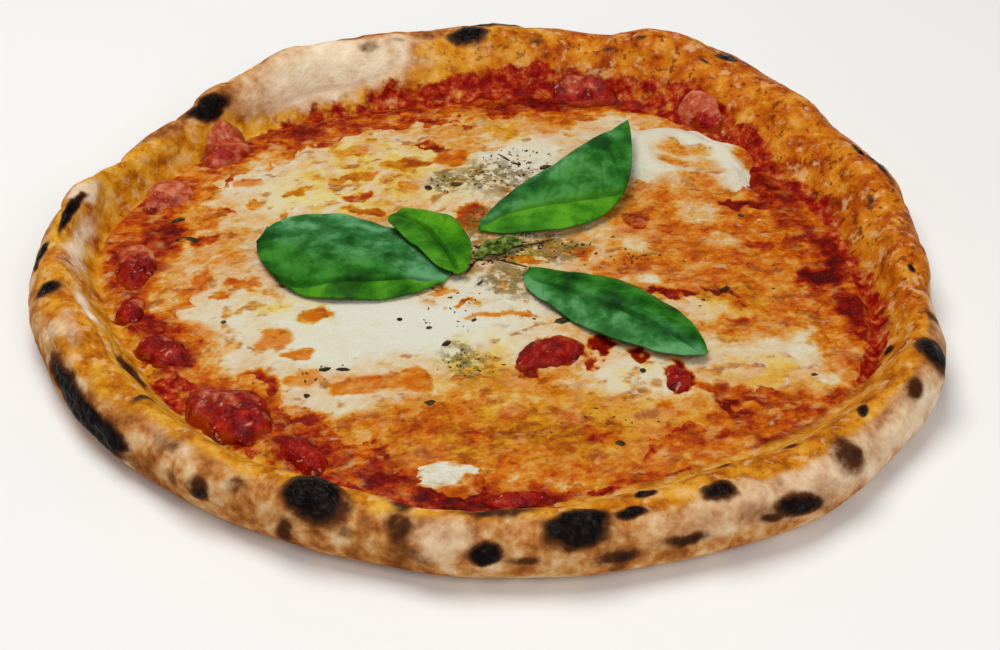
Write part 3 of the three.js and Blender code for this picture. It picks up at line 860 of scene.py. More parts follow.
def add_crust(material):
    angle = np.arange(CRUST_SEGMENTS) * 360 / CRUST_SEGMENTS
    rows = crust_rows(angle)
    angles = np.broadcast_to(angle, (len(rows), CRUST_SEGMENTS))
    radius, height = (np.array([row[part] for row in rows]) for part in (0, 1))
    weight = np.array([row[2] for row in rows])[:, None]
    rings = np.stack([*polar(radius, angles), height], axis=-1)

    crest_row = len(UNDERSIDE_SHARES) + CURL_ROWS + OUTSIDE_ROWS
    steps = np.hypot(np.diff(radius, axis=0), np.diff(height, axis=0))
    walked = np.concatenate([np.zeros((1, CRUST_SEGMENTS)), np.cumsum(steps, axis=0)])
    across = walked[crest_row] - walked

    char = rim_marks(CHAR_SPOTS, angles, across, 2.2, 11)
    folds = np.sin(across * FOLD["pace"] + 1.2 * noise(rings, 12, 15))
    swell = (
        relief(rings, *CRUST_RELIEF)
        + bubble_relief(angles, across + 2.2 * noise(rings, 15, 9))
        + np.clip(char, 0, 1) * (0.4 + 0.7 * noise(rings, *CHAR_RELIEF))
        - BUBBLE_DIP
        + FOLD["height"] * folds * marks(FOLDED, *polar(radius, angles), 0, 8, 1)
    )
    rings = rings + surface_normals(rings) * (weight * swell)[..., None]
    rings[..., 2] = np.maximum(rings[..., 2], 0)

    masks = slope_masks(angles, across)
    masks["char"] = char
    masks["toast"] = rim_marks(TOASTED, angles, across, 5, 21)
    masks["flour"] = rim_marks(FLOURED, angles, across, 4, 23)
    masks["oil"] = masks["oil"] * (radius > well_radius(angles) - OIL_REACH_IN)
    masks["oil"] = masks["oil"] * (1 - FLOUR_DRIES * masks["flour"])
    masks = {name: np.concatenate([[0], values.ravel(), [0]]) for name, values in masks.items()}
    corners = turned_corners(rings, (0, 0, 0), (0, 0, BASE_THICKNESS))
    dress("crust", corners, turned_faces(len(rows), CRUST_SEGMENTS), material, masks)


# ---- A layer or piece lying on the dough: rings out over its underside, then back in over its top

UNDER_SHARES = (0.5, 0.8, 0.9, 0.95, 0.98, 1.0)
LEAST_DEPTH = 0.02


def lay(node_name, material, outline, grid, top, bottom, masks):
    """outline: the middle and the radius at each angle; grid: the segments and the rings' shares of
    that radius; top, bottom and masks are functions of x, y."""
    middle, ring_radius = outline
    segments, shares = grid
    angle = np.arange(segments) * 360 / segments
    under, over = (
        np.array([polar(ring_radius(angle) * share, angle, middle) for share in row])
        for row in (UNDER_SHARES, shares[::-1])
    )
    x, y = np.concatenate([under, over]).swapaxes(0, 1)
    low = bottom(x, y)
    high = np.maximum(top(x, y), low + LEAST_DEPTH)
    rings = np.stack([x, y, np.concatenate([low[:len(under)], high[len(under):]])], axis=-1)
    tip = [np.array([float(place)]) for place in middle]
    ends = [(*middle, float(surface(*tip)[0])) for surface in (bottom, top)]
    corners = turned_corners(rings, *ends)
    values = masks(corners[:, 0], corners[:, 1])
    dress(node_name, corners, turned_faces(len(rings), segments), material, values)


def lay_oval(node_name, material, piece, radius, grid, top, sunk, masks):
    """A piece of topping on its oval, which reaches down into what it lies on."""
    segments, rows = grid
    shares = np.sin(np.linspace(0.03, 1, rows) * np.pi / 2)
    outline = (piece["x"], piece["y"]), radius
    lay(
        node_name, material, outline, (segments, shares), top, lambda x, y: layers_top(x, y) - sunk,
        masks,
    )


def frayed(piece, seed, depth):
    """Radius round a piece's middle, with a finer fray than the solid's outline has."""
    def radius(angle):
        return oval_radius(piece, angle) * (1 + depth * layered(flat(*polar(1, angle)), 0.5, seed))
    return radius


# ---- Sauce

SAUCE_SEGMENTS = 720
SAUCE_SHARES = np.concatenate([np.linspace(0.04, 0.62, 16), np.linspace(0.63, 1.0, 70)])
SAUCE_UNDER = 2.6  # how far the layer reaches down into the dough
# The bare layer is browned by oil and thin cheese, with red and dark places: a mark and its tone.
SAUCE_TONE = 0.66
SAUCE_TONES = [
    (-106, 6, 14, 50, 0, 0.38), (-80, -64, 26, 10, -40, 0.46), (28, 116, 26, 12, 0, 0.92),
    (60, 109, 20, 10, -20, 0.88), (-2, 118, 12, 8, 0, 0.68), (-42, 108, 24, 6, 12, 0.86),
    (-72, 92, 12, 7, 20, 0.84), (92, 88, 14, 10, -50, 0.88), (103, 62, 8, 16, 10, 0.9),
    (107, 44, 9, 12, 0, 0.8), (92, 38, 10, 4, 0, 0.88), (112, 20, 7, 12, 0, 0.72), (121, 4, 8, 15, 6, 0.9),
    (117, -6, 7, 7, 0, 1), (120, -44, 7, 16, -6, 0.44), (126, -30, 6, 13, -6, 0.9),
    (98, -97, 17, 5, 28, 0.88), (2, -124, 26, 6, 0, 0.94), (-30, -114, 7, 8, 20, 0.86),
    (-56, -100, 14, 7, -30, 0.8), (-102, -53, 10, 8, -30, 0.8), (-118, -28, 5, 9, 0, 0.8),
    (-106, 18, 6, 3, 0, 0.7), (-112, 18, 6, 13, 0, 0.84), (-104, 62, 8, 10, 0, 0.5),
    (-107, -36, 8, 6, 0, 0.8), (66, -104, 40, 6, 16, 0.5), (114, 6, 5, 8, 0, 0.6), (98, 28, 5, 5, 0, 0.2),
    (108, -64, 8, 9, 0, 0.2), (58, 99, 20, 6, -14, 0.3), (-80, 68, 9, 8, 0, 0.3),
    (52, -121, 22, 4, 20, 0.84), (96, -97, 22, 4.5, 36, 0.88),
]
RUN_TONE = 0.82  # tone of the sauce that has run from the tomato pieces
# Where the layer ends: a share of its climb up the slope, more where it ends sooner.
SAUCE_END = 0.4
SAUCE_ENDS = [
    (195, 0.6, 24), (219, 1.5, 12), (235, 1.4, 10), (300, -0.2, 22), (340, 0.25, 12), (118, 0.7, 20),
]
SAUCE_EDGE_RELIEF = [(0.35, 13, 61), (0.25, 5, 62)]
SAUCE_PULP = [(0.5, 9, 63), (0.4, 3.2, 64)]
EDGE_DIP = 2.4  # how far the outermost edge of the layer goes down into the dough


def sauce_climb(x, y):
    """How far up the slope a place lies: 0 at its foot and 1 where the layer is over at the latest."""
    ragged = relief(flat(x, y), *SAUCE_EDGE_RELIEF)
    return climb(x, y, sauce_radius) + ragged + swollen(SAUCE_END, SAUCE_ENDS, from_middle(x, y)[1])


def sauce_level(x, y):
    """The sauce's surface but for its pulp. It ends sooner than the solid's, under the dough's skin."""
    radius, angle = from_middle(x, y)
    edge = EDGE_DIP * smoothstep(0.955, 1.0, radius / sauce_radius(angle))
    share = np.clip(sauce_climb(x, y), 0, 1.7)
    return dough_top(x, y) + GAP + SAUCE_DEPTH * (1 - share**2) - edge


def sauce_surface(x, y):
    return sauce_level(x, y) + relief(flat(x, y), *SAUCE_PULP) * smoothstep(1.4, 0.6, sauce_climb(x, y))


def near_tomato(x, y):
    """Where sauce has run from the tomato pieces: 1 at their outline and 0 further off."""
    shares = [oval_share(piece, x, y) for piece, film in TOMATO_PIECES.values()]
    return smoothstep(1.3, 0.95, np.min(shares, axis=0) + 0.3 * layered(flat(x, y), 9, 68))


def ground_tone(x, y):
    """Tone of the sauce where no cheese covers it."""
    return lerp(toned(SAUCE_TONES, SAUCE_TONE, x, y, 6, 8, 65, 0.6), RUN_TONE, 0.5 * near_tomato(x, y))


def sauce_masks(x, y):
    radius, angle = from_middle(x, y)
    slope = slope_masks(angle, across_from_crest(radius, angle))
    bake = smoothstep(0.1, 0.9, sauce_climb(x, y))
    return {
        "tone": ground_tone(x, y),
        "variety": STAINED_VARIETY + 0 * x,
        "bake": bake,
        "orange": slope["orange"],
        "red": slope["red"] * np.minimum(1, 4 * bake),
    }


def add_sauce(material):
    lay(
        "tomato_sauce", material, ((0, 0), sauce_radius), (SAUCE_SEGMENTS, SAUCE_SHARES),
        sauce_surface, lambda x, y: dough_top(x, y) - SAUCE_UNDER, sauce_masks,
    )


# ---- Cheese

SHEET_SEGMENTS = 660
SHEET_SHARES = np.linspace(0.006, 1.0, 135)
SHEET_SPREAD = 1.05  # the dressed sheet frays out within this much of the solid's outline
SHEET_UNDER = 0.9
PIECE_UNDER = 1.2
CREAM_TONE = 0.24
# White and cream areas, then stained ones, then small marks, each with its tone.
CHEESE_TONES = [
    (-68, 52, 30, 20, 10, 0.08), (-88, 28, 9, 16, 0, 0.26), (-90, 4, 13, 13, 0, 0.34),
    (-90, -30, 16, 10, 0, 0.12), (-82, -46, 20, 12, -20, 0.14), (-74, -63, 14, 5, -10, 0.18),
    (-45, 64, 34, 20, 0, 0.2), (-30, -38, 42, 19, -5, 0), (-52, -50, 16, 14, 0, 0.02),
    (8, -30, 14, 12, 0, 0.06), (0, -16, 12, 8, 0, 0.06), (-58, -78, 26, 9, -20, 0.16),
    (-38, -82, 14, 6, 0, 0.12), (14, 66, 18, 18, 0, 0.06), (-8, 48, 16, 14, 0, 0.12),
    (18, 6, 16, 8, 0, 0.14), (45, 93, 22, 11, 10, 0.12), (62, 98, 9, 5, 0, 0.06), (38, 8, 12, 10, 0, 0.26),
    (-2, 94, 48, 10, 0, 0.36), (-5, 78, 14, 8, 0, 0.3), (28, 98, 9, 10, 0, 0.5), (8, 106, 18, 5, 0, 0.6),
    (88, 4, 36, 48, 0, 0.54), (104, -22, 20, 28, 0, 0.52), (66, 26, 20, 18, 0, 0.48),
    (60, 2, 14, 14, 0, 0.52), (76, 30, 7, 8, 0, 0.24), (82, 12, 8, 6, 0, 0.3), (54, 8, 6, 8, 0, 0.24),
    (70, 15, 10, 9, 0, 0.54), (30, -96, 58, 22, 0, 0.56), (-8, -90, 24, 12, 0, 0.57),
    (70, -94, 34, 12, 14, 0.46), (8, -76, 12, 10, 0, 0.42), (26, -70, 18, 8, 0, 0.46),
    (46, -82, 20, 9, 0, 0.44), (-42, -92, 16, 6, 0, 0.46), (0, -110, 34, 7, 0, 0.5),
    (50, -66, 17, 10, 0, 0.1), (72, -60, 16, 4, 0, 0.12), (95, -54, 24, 8, 4, 0.18),
    (110, -50, 8, 10, 0, 0.1), (92, -68, 22, 9, -4, 0.26), (104, -72, 7, 9, 0, 0.2),
    (73, -28, 16, 7, -14, 0.2), (58, -13, 5, 4, 0, 0.1), (-102, 26, 7, 8, 0, 0.5),
    (-98, -48, 10, 10, 30, 0.52), (-88, -50, 6, 6, 0, 0.4), (-32, 97, 24, 6, 10, 0.22),
    (-66, 86, 8, 9, 0, 0.26), (-78, 70, 7, 6, 0, 0.12), (-57, 86, 5, 8, 0, 0.56),
]
CHEESE_FLECKS = [
    (-50, 72, 9, 4, 0, 0.42), (-47, 54, 10, 3.4, 6, 0.54), (-44, 39, 6, 3, 4, 0.68),
    (-41, 30, 8, 3.6, -20, 0.62), (-31, 62, 8, 4, 10, 0.5), (-22, 64.5, 7, 2.4, 6, 0.68),
    (-18, 76, 6, 2.6, -10, 0.72), (-26, 47, 4, 4, 0, 0.48), (-86, 52, 5, 3, 0, 0.44),
    (-68, 43, 6, 2.8, 30, 0.5), (-81, 37, 2.2, 3, 0, 0.5), (-70, 28, 3, 4, 0, 0.46),
    (-97, 32, 6, 5, 0, 0.56), (-95, 14, 8, 3, 6, 0.7), (-84, -11, 3, 2.6, 0, 0.62),
    (-78, -14, 4.4, 4, 0, 0.52), (-97, -12, 4.6, 8, -20, 0.54), (-88, -20, 3, 2.4, 0, 0.58),
    (-55, -32, 5.6, 4.6, 30, 0.52), (-68, -46, 5, 6, -16, 0.46), (-60, -53, 4.4, 2.6, 0, 0.5),
    (-57, -66, 6, 3.4, 0, 0.46), (-36, -70, 14, 5.4, 10, 0.5), (-20, -67, 5, 6, 0, 0.5),
    (-14, -20, 5, 2.4, 0, 0.48), (-6, -27, 5, 1.5, 16, 0.5), (3, -32, 8, 1.6, 6, 0.46),
    (14, -33, 6, 1.6, -8, 0.46), (35, 5, 6, 4.4, 20, 0.6), (14, -1, 6, 2, 0, 0.5), (44, -7, 7, 6, 0, 0.58),
    (-3, 28, 6, 9, -20, 0.72), (-11, 68, 6, 7, 0, 0.58), (9, 85, 4.4, 7, 20, 0.36),
    (-20, -86, 7, 7, 0, 0.6), (65, 40, 8, 5, 0, 0.54), (55, 24, 5, 6, -10, 0.76), (98, 10, 5, 4, 0, 0.68),
    (92, -36, 12, 2.4, -8, 0.66), (38, 99, 12, 3, 14, 0.6), (2, -68, 12, 7, 0, 0.4),
    (36, -94, 10, 4, 20, 0.68), (4, -94, 14, 2, 2, 0.66), (66, -105, 24, 4, 16, 0.78),
]
RED_MARKS = [
    (24, -53, 11, 6, 12, 0.92), (15, -64, 4, 5, 0, 0.84), (40, -48, 4, 6, -20, 0.86),
    (36, -58, 3, 3.4, 0, 0.8), (52, -55, 5, 3, -20, 0.84), (63, -67, 4.6, 8, 0, 0.92),
    (64, -20, 9, 3.4, -10, 0.84), (82, -20, 8, 2, -20, 0.84), (80, -82, 5, 9, 24, 0.86),
    (92, -92, 15, 3.8, 22, 0.84), (107, -82, 6, 4, 45, 0.9), (-19, 75, 5, 1.6, -10, 0.84),
    (-52, -96, 12, 5, -20, 0.8), (96, 37, 12, 4, 0, 0.86), (-32, -105, 6, 8, 20, 0.84),
    (14, 104, 6, 4, 14, 0.76), (-73, 92, 6, 6, 20, 0.72), (-90, 64, 2, 7, 0, 0.64),
    (116, -60, 3, 2, 0, 0.8), (112, -8, 6, 6, 0, 0.9), (78, -73, 11, 4, -8, 0.72),
    (-70, -68, 9, 6, -40, 0.78), (-56, -87, 12, 6, -40, 0.8),
]
# Where the cheese is buttery yellow.
BUTTER = [
    (-70, -25, 8, 9, 0), (-46, 68, 14, 14, 0), (-55, 42, 20, 18, 0), (-28, 56, 20, 18, 0),
    (-4, -53, 12, 9, 0), (2, -66, 14, 7, 0), (98, -66, 16, 8, 0), (10, 86, 6, 8, 0), (-68, 28, 6, 7, 0),
    (50, -66, 7, 4, 0), (-57, -34, 7, 7, 0), (20, 5, 12, 6, 0), (50, -112, 16, 4, 20), (22, -92, 52, 16, 0),
    (86, -20, 12, 8, 0),
]
# Where dried herb stains the cheese brown.
HERBED = [
    (24, 7, 14, 8, 10), (-2, 20, 8, 14, 0), (6, 54, 16, 14, 0), (-12, 50, 10, 6, 0), (9, -12, 15, 10, -30),
    (-4, -58, 9, 9, 0),
]
FLAT_VARIETY = 0.07  # how strongly fine mottling shifts the tone on white cheese
STAINED_VARIETY = 0.3
SHEET_EDGE_RELIEF = [(0.09, 16, 81), (0.06, 5, 82)]
CRUMB_RELIEF = [(0.6, 4.2, 84), (0.35, 1.9, 85, 2)]
SINK = 0.8  # how deep the edge of a piece melts into what it lies on
SLICE_GRID = (180, 46)  # segments round a piece and rows across it
SLICE_TONES = [
    (76, 64, 14, 8, -38, 0.2), (76, 71, 9, 4, -10, 0.4), (84, 60, 5, 7, 0, 0.3), (72, 62, 6, 3, -20, 0.44),
    (80, 47, 8, 5, 0, 0.46), (66, 44, 12, 5, 0, 0.34), (90, 41, 8, 4, 0, 0.4), (100, 69, 5, 8, 10, 0.6),
]
SLICE_RELIEF = [(0.8, 10, 91), (0.2, 3, 92)]
CURD_RELIEF = [(1.0, 3.4, 96), (0.4, 1.4, 97)]
CURD_GRID = (160, 44)
CURD_STRETCH = 2.4  # how much longer than wide the curd's lumps are
CURD_FRAY = 0.4
CURD_SHADE_SHIFT = 2.5  # how much further in the orange edge reaches at the curd's right and front, as painted shade


def cheese_masks(x, y):
    tone = toned(CHEESE_TONES, CREAM_TONE, x, y, 6, 9, 71)
    fringe = smoothstep(0.94, 1.02, sheet_share(x, y) + 0.07 * layered(flat(x, y), 9, 75))
    tone = lerp(tone, ground_tone(x, y), fringe)
    variety = lerp(FLAT_VARIETY, STAINED_VARIETY, smoothstep(0.02, 0.4, tone))
    flecked = toned(CHEESE_FLECKS, 0, x, y, 3.4, 4, 76, PATCH_EDGE)
    red = toned(RED_MARKS, 0, x, y, 4.2, 4, 78, PATCH_EDGE)
    return {
        "tone": np.maximum(np.maximum(tone, flecked), red),
        "variety": variety,
        "butter": marks(BUTTER, x, y, 6, 8, 80, 0.7),
        "herbed": marks(HERBED, x, y, 5, 8, 88, 0.6),
        "sunken": smoothstep(0.3, 0.8, red),
    }


def cheese_surface(x, y):
    spots = flat(x, y)
    masks = cheese_masks(x, y)
    share = sheet_share(x, y) + relief(spots, *SHEET_EDGE_RELIEF)
    body = CHEESE_DEPTH + GAP + lumps(*SHEET_LUMPS, x, y)
    crumbly = masks["variety"] / STAINED_VARIETY
    rough = 0.5 * layered(spots, 11, 83) + crumbly * relief(spots, *CRUMB_RELIEF) - 0.5 * masks["sunken"]
    depth = body * (1 - np.clip(share, 0, 1.2) ** 8) + rough * smoothstep(1.1, 0.9, share) - 0.5
    return sauce_level(x, y) + depth


def add_cheese(material):
    outline = SHEET_MIDDLE, lambda angle: SHEET_SPREAD * sheet_radius(angle)
    lay(
        "mozzarella_sheet", material, outline, (SHEET_SEGMENTS, SHEET_SHARES), cheese_surface,
        lambda x, y: sauce_level(x, y) - SHEET_UNDER, cheese_masks,
    )


def add_slice(material):
    def top(x, y):
        share = oval_share(SLICE, x, y)
        soft = relief(flat(x, y), *SLICE_RELIEF)
        return piece_underside(x, y) + slice_depth(share) + soft - SINK * share**4

    def masks(x, y):
        tone = toned(SLICE_TONES, 0.04, x, y, 3, 6, 95)
        return {"tone": tone, "variety": lerp(0.05, 0.26, smoothstep(0.1, 0.4, tone)), "butter": 0 * x}

    lay_oval(
        "mozzarella_slice", material, SLICE, lambda angle: oval_radius(SLICE, angle), SLICE_GRID,
        top, PIECE_UNDER, masks,
    )


def add_curd(material):
    def ragged_share(x, y):
        return oval_share(CURD, x, y) + 0.7 * layered(flat(x / CURD_STRETCH, y), 3.2, 98)

    def top(x, y):
        rough = relief(flat(x / CURD_STRETCH, y), *CURD_RELIEF)
        loaf = 0.75 * CURD["height"] * np.clip(1.15 - ragged_share(x, y) ** 2, 0, 1) ** 0.8
        return piece_underside(x, y) + loaf * (0.75 + 0.6 * rough) - SINK * oval_share(CURD, x, y) ** 2

    def masks(x, y):
        # The orange edge, shifted to the curd's right and front as painted shade.
        orange_share = smoothstep(0.6, 1.0, ragged_share(x + CURD_SHADE_SHIFT, y - CURD_SHADE_SHIFT))
        return {"tone": 0.01 + 0.6 * orange_share, "variety": 0.2 + 0 * x}

    outline = frayed(CURD, 99, CURD_FRAY)
    lay_oval("mozzarella_curd", material, CURD, outline, CURD_GRID, top, PIECE_UNDER, masks)


# ---- Tomato pieces

TOMATO_GRID = (120, 30)
TOMATO_SEED = 201  # of the first piece
TOMATO_SEED_STEP = 7
TOMATO_UNDER = 3.0
TOMATO_FRAY = 0.3
PALER_AT_BACK = 0.4  # how much paler a piece is on its back than on its middle, in the film's salmon colour


def add_tomato(name, piece, film, seed, material):
    def ragged_share(x, y):
        return oval_share(piece, x, y) + 0.4 * layered(flat(x, y), 9, seed + 9)

    def top(x, y):
        share, ragged = oval_share(piece, x, y), ragged_share(x, y)
        rough = relief(flat(x, y), (1.5, 7, seed), (1.0, 3, seed + 3))
        loaf = 0.8 * (piece["height"] - 0.8) * np.clip(1 - ragged**2, 0, 1) ** 0.7
        ground = lerp(layers_top(x, y), piece_underside(x, y), 0.4)
        sink = SINK * share**2 + 2.2 * smoothstep(0.8, 1.05, np.maximum(share, ragged))
        return ground + loaf + rough * smoothstep(1.1, 0.5, share) - sink

    def masks(x, y):
        back = np.clip((y - piece["y"]) / piece["wide"], -1, 1)
        return {"film": film + PALER_AT_BACK * back, "edge": smoothstep(0.5, 1.0, ragged_share(x, y))}

    outline = frayed(piece, seed + 5, TOMATO_FRAY)
    lay_oval(name, material, piece, outline, TOMATO_GRID, top, TOMATO_UNDER, masks)


# ---- Basil

LEAF_ROWS = 120
LEAF_COLUMNS = 72
LEAST_WIDTH = 0.03  # of a leaf's ends, before its fullness widens them
MIDRIB_WIDTH = 0.9
VEIN_SPACING = 9.0
VEIN_SLANT = 0.7
VEIN_CURVE = 0.012
FACE_GAP = 0.45
LEAF_SEED = 100


def leaf_taper(leaf, along):
    stretch = np.log(0.5) / np.log(leaf["widest"])
    return np.maximum(LEAST_WIDTH, np.sin(np.pi * along**stretch)) ** leaf["fullness"]


def leaf_veins(leaf, along, side, length, half_width):
    """How near each point of a leaf is to the midrib and to a side vein, and the quilting between."""
    belly = np.sin(np.pi * along)
    fold = lerp(*leaf["fold"], along)
    reach = np.abs(side - fold) * half_width
    midrib = bell(reach, 0, MIDRIB_WIDTH) * smoothstep(0.0, 0.3, belly)
    run = along * length - VEIN_SLANT * reach - VEIN_CURVE * reach**2
    nearness = np.abs((run / VEIN_SPACING + np.where(side > fold, 0.5, 0)) % 1 - 0.5) * 2
    off_side = np.abs(side)
    side_vein = smoothstep(0.84, 1.0, nearness) * smoothstep(0.05, 0.3, belly)
    side_vein = side_vein * smoothstep(1.0, 0.7, off_side)
    quilt = (1 - nearness**2) * belly * smoothstep(0.0, 4.0, reach) * smoothstep(1.0, 0.6, off_side)
    return midrib, side_vein, quilt


def leaf_points(leaf, along, side):
    """Upper face of a leaf on a grid of shares along and across it, and how near each point a vein is."""
    stalk, tip = np.array(leaf["stalk"], float), np.array(leaf["tip"], float)
    rib = tip - stalk
    length = np.hypot(*rib)
    left = np.array([-rib[1], rib[0]]) / length
    half_width = np.where(side > 0, leaf["left"], leaf["right"]) * leaf_taper(leaf, along)
    belly = np.sin(np.pi * along)
    out = side * half_width + leaf["bow"] * belly
    x, y = (stalk[axis] + rib[axis] * along + left[axis] * out for axis in (0, 1))

    arch = leaf["crown"] * belly * (1 - side**2)
    lift = lerp(leaf["stalk_lift"], leaf["tip_lift"], along**1.5)
    ripple = np.sin(2 * np.pi * EDGE_WAVE["turns"] * along + 2 * side) + 1
    stand = arch + lift + leaf["roll"] * belly * (1 + side) + EDGE_WAVE["height"] * ripple * side**2

    midrib, side_vein, quilt = leaf_veins(leaf, along, side, length, half_width)
    seed = int(abs(leaf["tip"][0])) + LEAF_SEED
    crinkle = relief(flat(x, y), (1.2, 17, seed), (0.35, 5, seed + 5))
    fine = 0.4 * quilt - 0.2 * side_vein - 1.0 * midrib + crinkle * np.minimum(1, half_width / 8)
    z = leaf_underside(x, y) + stand + LEAF_THICKNESS + fine
    return np.stack([x, y, z], axis=-1), np.maximum(midrib, 0.5 * side_vein)


def sheet_faces(rows, columns):
    """Faces of an upper and a lower grid of points and of the edge between them."""
    index = np.arange(rows * columns).reshape(rows, columns)
    count = rows * columns
    cell = np.stack([index[:-1, :-1], index[1:, :-1], index[1:, 1:], index[:-1, 1:]], axis=-1)
    cell = cell.reshape(-1, 4)
    loop = np.concatenate([index[0, :-1], index[:-1, -1], index[-1, :0:-1], index[:0:-1, 0]])
    after = np.roll(loop, -1)
    rim = np.stack([loop, after, after + count, loop + count], axis=-1)
    return cell.tolist() + (cell[:, ::-1] + count).tolist() + rim.tolist()


def add_leaf(name, leaf, material):
    along, side = np.meshgrid(np.linspace(0, 1, LEAF_ROWS), np.linspace(-1, 1, LEAF_COLUMNS), indexing="ij")
    top, vein = leaf_points(leaf, along, side)
    corners = np.concatenate([top.reshape(-1, 3), (top - (0, 0, FACE_GAP)).reshape(-1, 3)])
    past = smoothstep(-0.04, 0.16, side - lerp(*leaf["fold"], along))
    masks = {
        "vein": vein,
        # Painted light past the fold, and a painted bluish sheen that is strongest to one side.
        "lit": lerp(*leaf["lit"], past),
        "painted_sheen": lerp(*leaf["painted_sheen"], smoothstep(-0.5, 0.5, side + 0.6 * noise(top, 18, 120))),
        "wilt": 0 * side + (name == "basil_sprig"),
    }
    masks = {mask_name: np.tile(values.ravel(), 2) for mask_name, values in masks.items()}
    dress(name, corners, sheet_faces(LEAF_ROWS, LEAF_COLUMNS), material, masks)


# ---- Dried herb and pepper

# Where fine flecks lie: middle, half length, half width, turn, and how many.
HERB_CLUSTERS = [
    (14, 60, 16, 14, 0, 70), (-8, 50, 14, 8, 0, 30), (8, 6, 16, 8, 30, 120), (34, 4, 26, 10, 0, 40),
    (0, -30, 20, 16, 0, 24), (-4, -60, 12, 8, 0, 24), (-52, -64, 12, 6, 0, 8), (36, -92, 24, 10, 0, 12),
    (80, -10, 30, 20, 0, 12),
]
# The larger bits: middle, half length, half width, turn.
HERB_BITS = [
    (-19, 46, 1.6, 1.3, 0), (-9, 48, 2.4, 1.4, 10), (24, 60, 2.2, 1.7, 20), (9, 67, 4, 0.5, -50),
    (13, 63, 3, 0.5, -30), (61, 53, 4, 0.5, -52), (-44, -62, 2.4, 0.9, 0), (-50, -62, 2, 1, 20),
    (-55, -74, 1.2, 1, 0), (-16, -79, 1.6, 1.3, 0), (52, -64, 1.2, 1, 0), (43, -99, 1.6, 1.4, 0),
    (27, -37, 3.6, 1.6, 20), (-17, -40, 1, 0.9, 0), (-11, -49, 2, 1, 30), (-2, -36, 1.4, 0.6, 50),
    (0, -14, 2, 0.6, 60), (-103, 15, 4, 1.6, 0), (-108, 28, 3, 1.2, 30), (83, -18, 1.8, 0.9, 10),
    (93, 28, 1.4, 1, 0), (-85, -36, 1, 0.8, 0), (-27, -34, 1, 0.8, 0), (107, -64, 1.2, 0.8, 0),
    (4, 4, 7, 0.6, 36), (10, -3, 6, 0.5, -24), (-3, -4, 5, 0.5, 60), (16, 9, 5, 0.5, 20),
    (23, 12, 3.6, 0.6, 30), (0, 7, 4, 0.6, -40),
]
HERB_SEED = 7
HERB_SIZES = (0.25, 0.8)  # half lengths of the fine flecks
FLAKE_OUTLINE = np.array([(1, 0), (0.3, 0.9), (-0.7, 0.75), (-1, -0.2), (-0.2, -1), (0.6, -0.7)])
FLAKE_STAND = 0.3  # of a flake's upper face over the cheese
FLAKE_THICKNESS = 0.6


def herb_flake(middle, half_length, half_width, heading, draw):
    """Corners of a small bent flake lying on the cheese, its upper face and then its lower one."""
    outline = FLAKE_OUTLINE * draw.uniform(0.75, 1.15, (len(FLAKE_OUTLINE), 1)) * (half_length, half_width)
    spread = outline @ np.array([[np.cos(heading), np.sin(heading)], [-np.sin(heading), np.cos(heading)]])
    x, y = (spread + middle).T
    ground = np.maximum(cheese_surface(x, y), sauce_surface(x, y))
    top = np.stack([x, y, ground + FLAKE_STAND + spread @ draw.uniform(-0.15, 0.15, 2)], axis=-1)
    return np.concatenate([top, top - (0, 0, FLAKE_THICKNESS)])


def strewn_flake(x, y, long, wide, turn, draw):
    """A fine flake at a random place in an oval cluster."""
    reach, spread = np.sqrt(draw.random()), draw.uniform(0, 2 * np.pi)
    right, back = polar(1.0, turn)
    along, across = long * reach * np.cos(spread), wide * reach * np.sin(spread)
    middle = (x + along * right - across * back, y + along * back + across * right)
    size = draw.uniform(*HERB_SIZES)
    return herb_flake(middle, size, size * draw.uniform(0.2, 0.6), draw.uniform(0, np.pi), draw)


def add_herbs(material):
    """Flakes of herb and pepper on the cheese, joined into one mesh."""
    draw = np.random.default_rng(HERB_SEED)
    flakes = [
        herb_flake((x, y), long, wide, np.radians(turn), draw) for x, y, long, wide, turn in HERB_BITS
    ]
    for *cluster, count in HERB_CLUSTERS:
        flakes += [strewn_flake(*cluster, draw) for _ in range(count)]
    faces = []
    sides = len(FLAKE_OUTLINE)
    for number in range(len(flakes)):
        top = [2 * sides * number + step for step in range(sides)]
        bottom = [step + sides for step in top]
        faces += [top, bottom[::-1]]
        faces += [(top[i], bottom[i], bottom[(i + 1) % sides], top[(i + 1) % sides]) for i in range(sides)]
    make_piece("herb_flecks", np.concatenate(flakes), faces, material, {})


# ---- Stage, light and camera

CAMERA_PLACE = (2.24, -575.37, 400.65)
CAMERA_TURN = (53.8075, 0, -0.448)
CAMERA_LENS = 72.5
CAMERA_CLIP = (0.01, 20)  # metres
FLOOR_SIZE = 6.0  # metres
FLOOR_LEVEL = -0.0005  # metres, just under the pizza
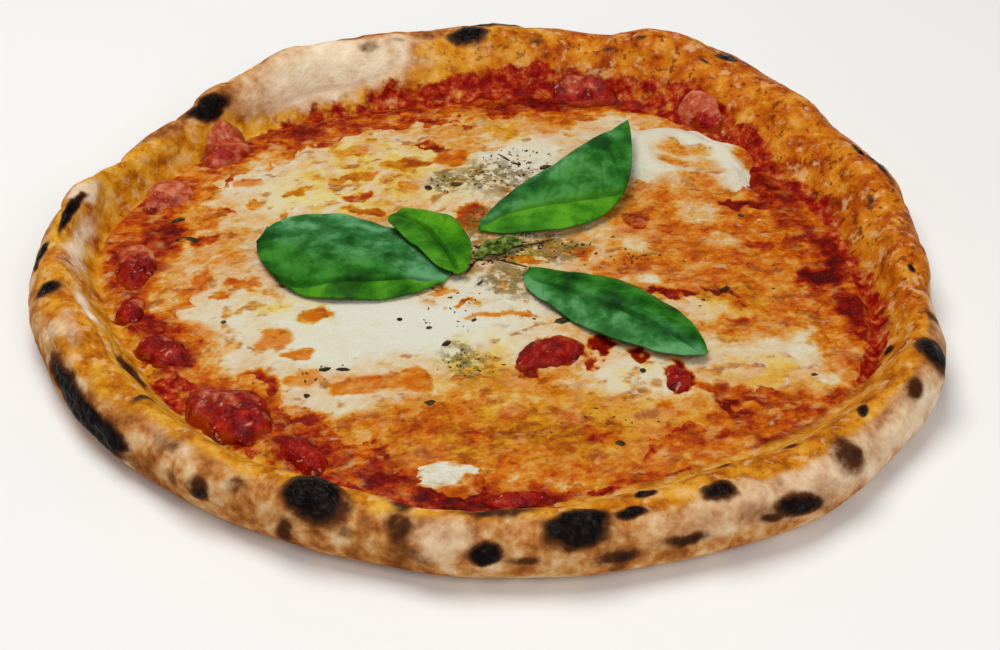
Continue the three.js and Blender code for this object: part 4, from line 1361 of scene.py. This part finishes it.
# Each light's place and size in metres, power in watts and colour.
LIGHTS = {
    "softbox": ((-0.25, 0.2, 1.1), 0.8, 9.1, (1.0, 0.985, 0.96)),
    "front": ((0.4, -0.9, 0.8), 0.8, 4.9, (1.0, 0.99, 0.97)),
}
SKY_COLOUR = (0.95, 0.97, 1.0, 1)
SKY_STRENGTH = 0.28


def add_floor():
    bpy.ops.mesh.primitive_plane_add(size=FLOOR_SIZE, location=(0, 0, FLOOR_LEVEL))
    floor = bpy.context.object
    floor.name = "floor"
    floor.data.materials.append(floor_look())


def add_light(name, place, size, power, colour):
    """A round soft light that points at the pizza."""
    data = bpy.data.lights.new(name, "AREA")
    data.shape = "DISK"
    data.size = size
    data.energy = power
    data.color = colour
    light = add_object(name, data)
    light.location = place
    right, back, up = place
    light.rotation_euler = (np.arctan2(np.hypot(right, back), up), 0, np.arctan2(-back, -right) - np.pi / 2)


def add_lights():
    for name, settings in LIGHTS.items():
        add_light(name, *settings)
    world = bpy.data.worlds.new("studio")
    world.use_nodes = True
    background = world.node_tree.nodes["Background"].inputs
    background["Color"].default_value = SKY_COLOUR
    background["Strength"].default_value = SKY_STRENGTH
    bpy.context.scene.world = world


def add_camera():
    data = bpy.data.cameras.new("camera")
    data.lens = CAMERA_LENS
    data.clip_start, data.clip_end = CAMERA_CLIP
    camera = add_object("camera", data)
    camera.location = (np.array(CAMERA_PLACE) - MIDDLE) * METRES
    camera.rotation_euler = np.radians(CAMERA_TURN)
    bpy.context.scene.camera = camera


# ---- The whole

add_camera()
add_lights()
add_floor()
bpy.context.scene.view_settings.view_transform = "Standard"

cheese = topping_look("melted_mozzarella")
tomato = tomato_look()
basil = basil_look()
add_crust(crust_look())
add_sauce(topping_look("tomato_sauce"))
add_cheese(cheese)
add_slice(cheese)
add_curd(cheese)
for number, (piece_name, (piece_oval, piece_film)) in enumerate(TOMATO_PIECES.items()):
    add_tomato(piece_name, piece_oval, piece_film, TOMATO_SEED + TOMATO_SEED_STEP * number, tomato)
for leaf_name, leaf_shape in BASIL_LEAVES.items():
    add_leaf(leaf_name, leaf_shape, basil)
add_herbs(herb_look())
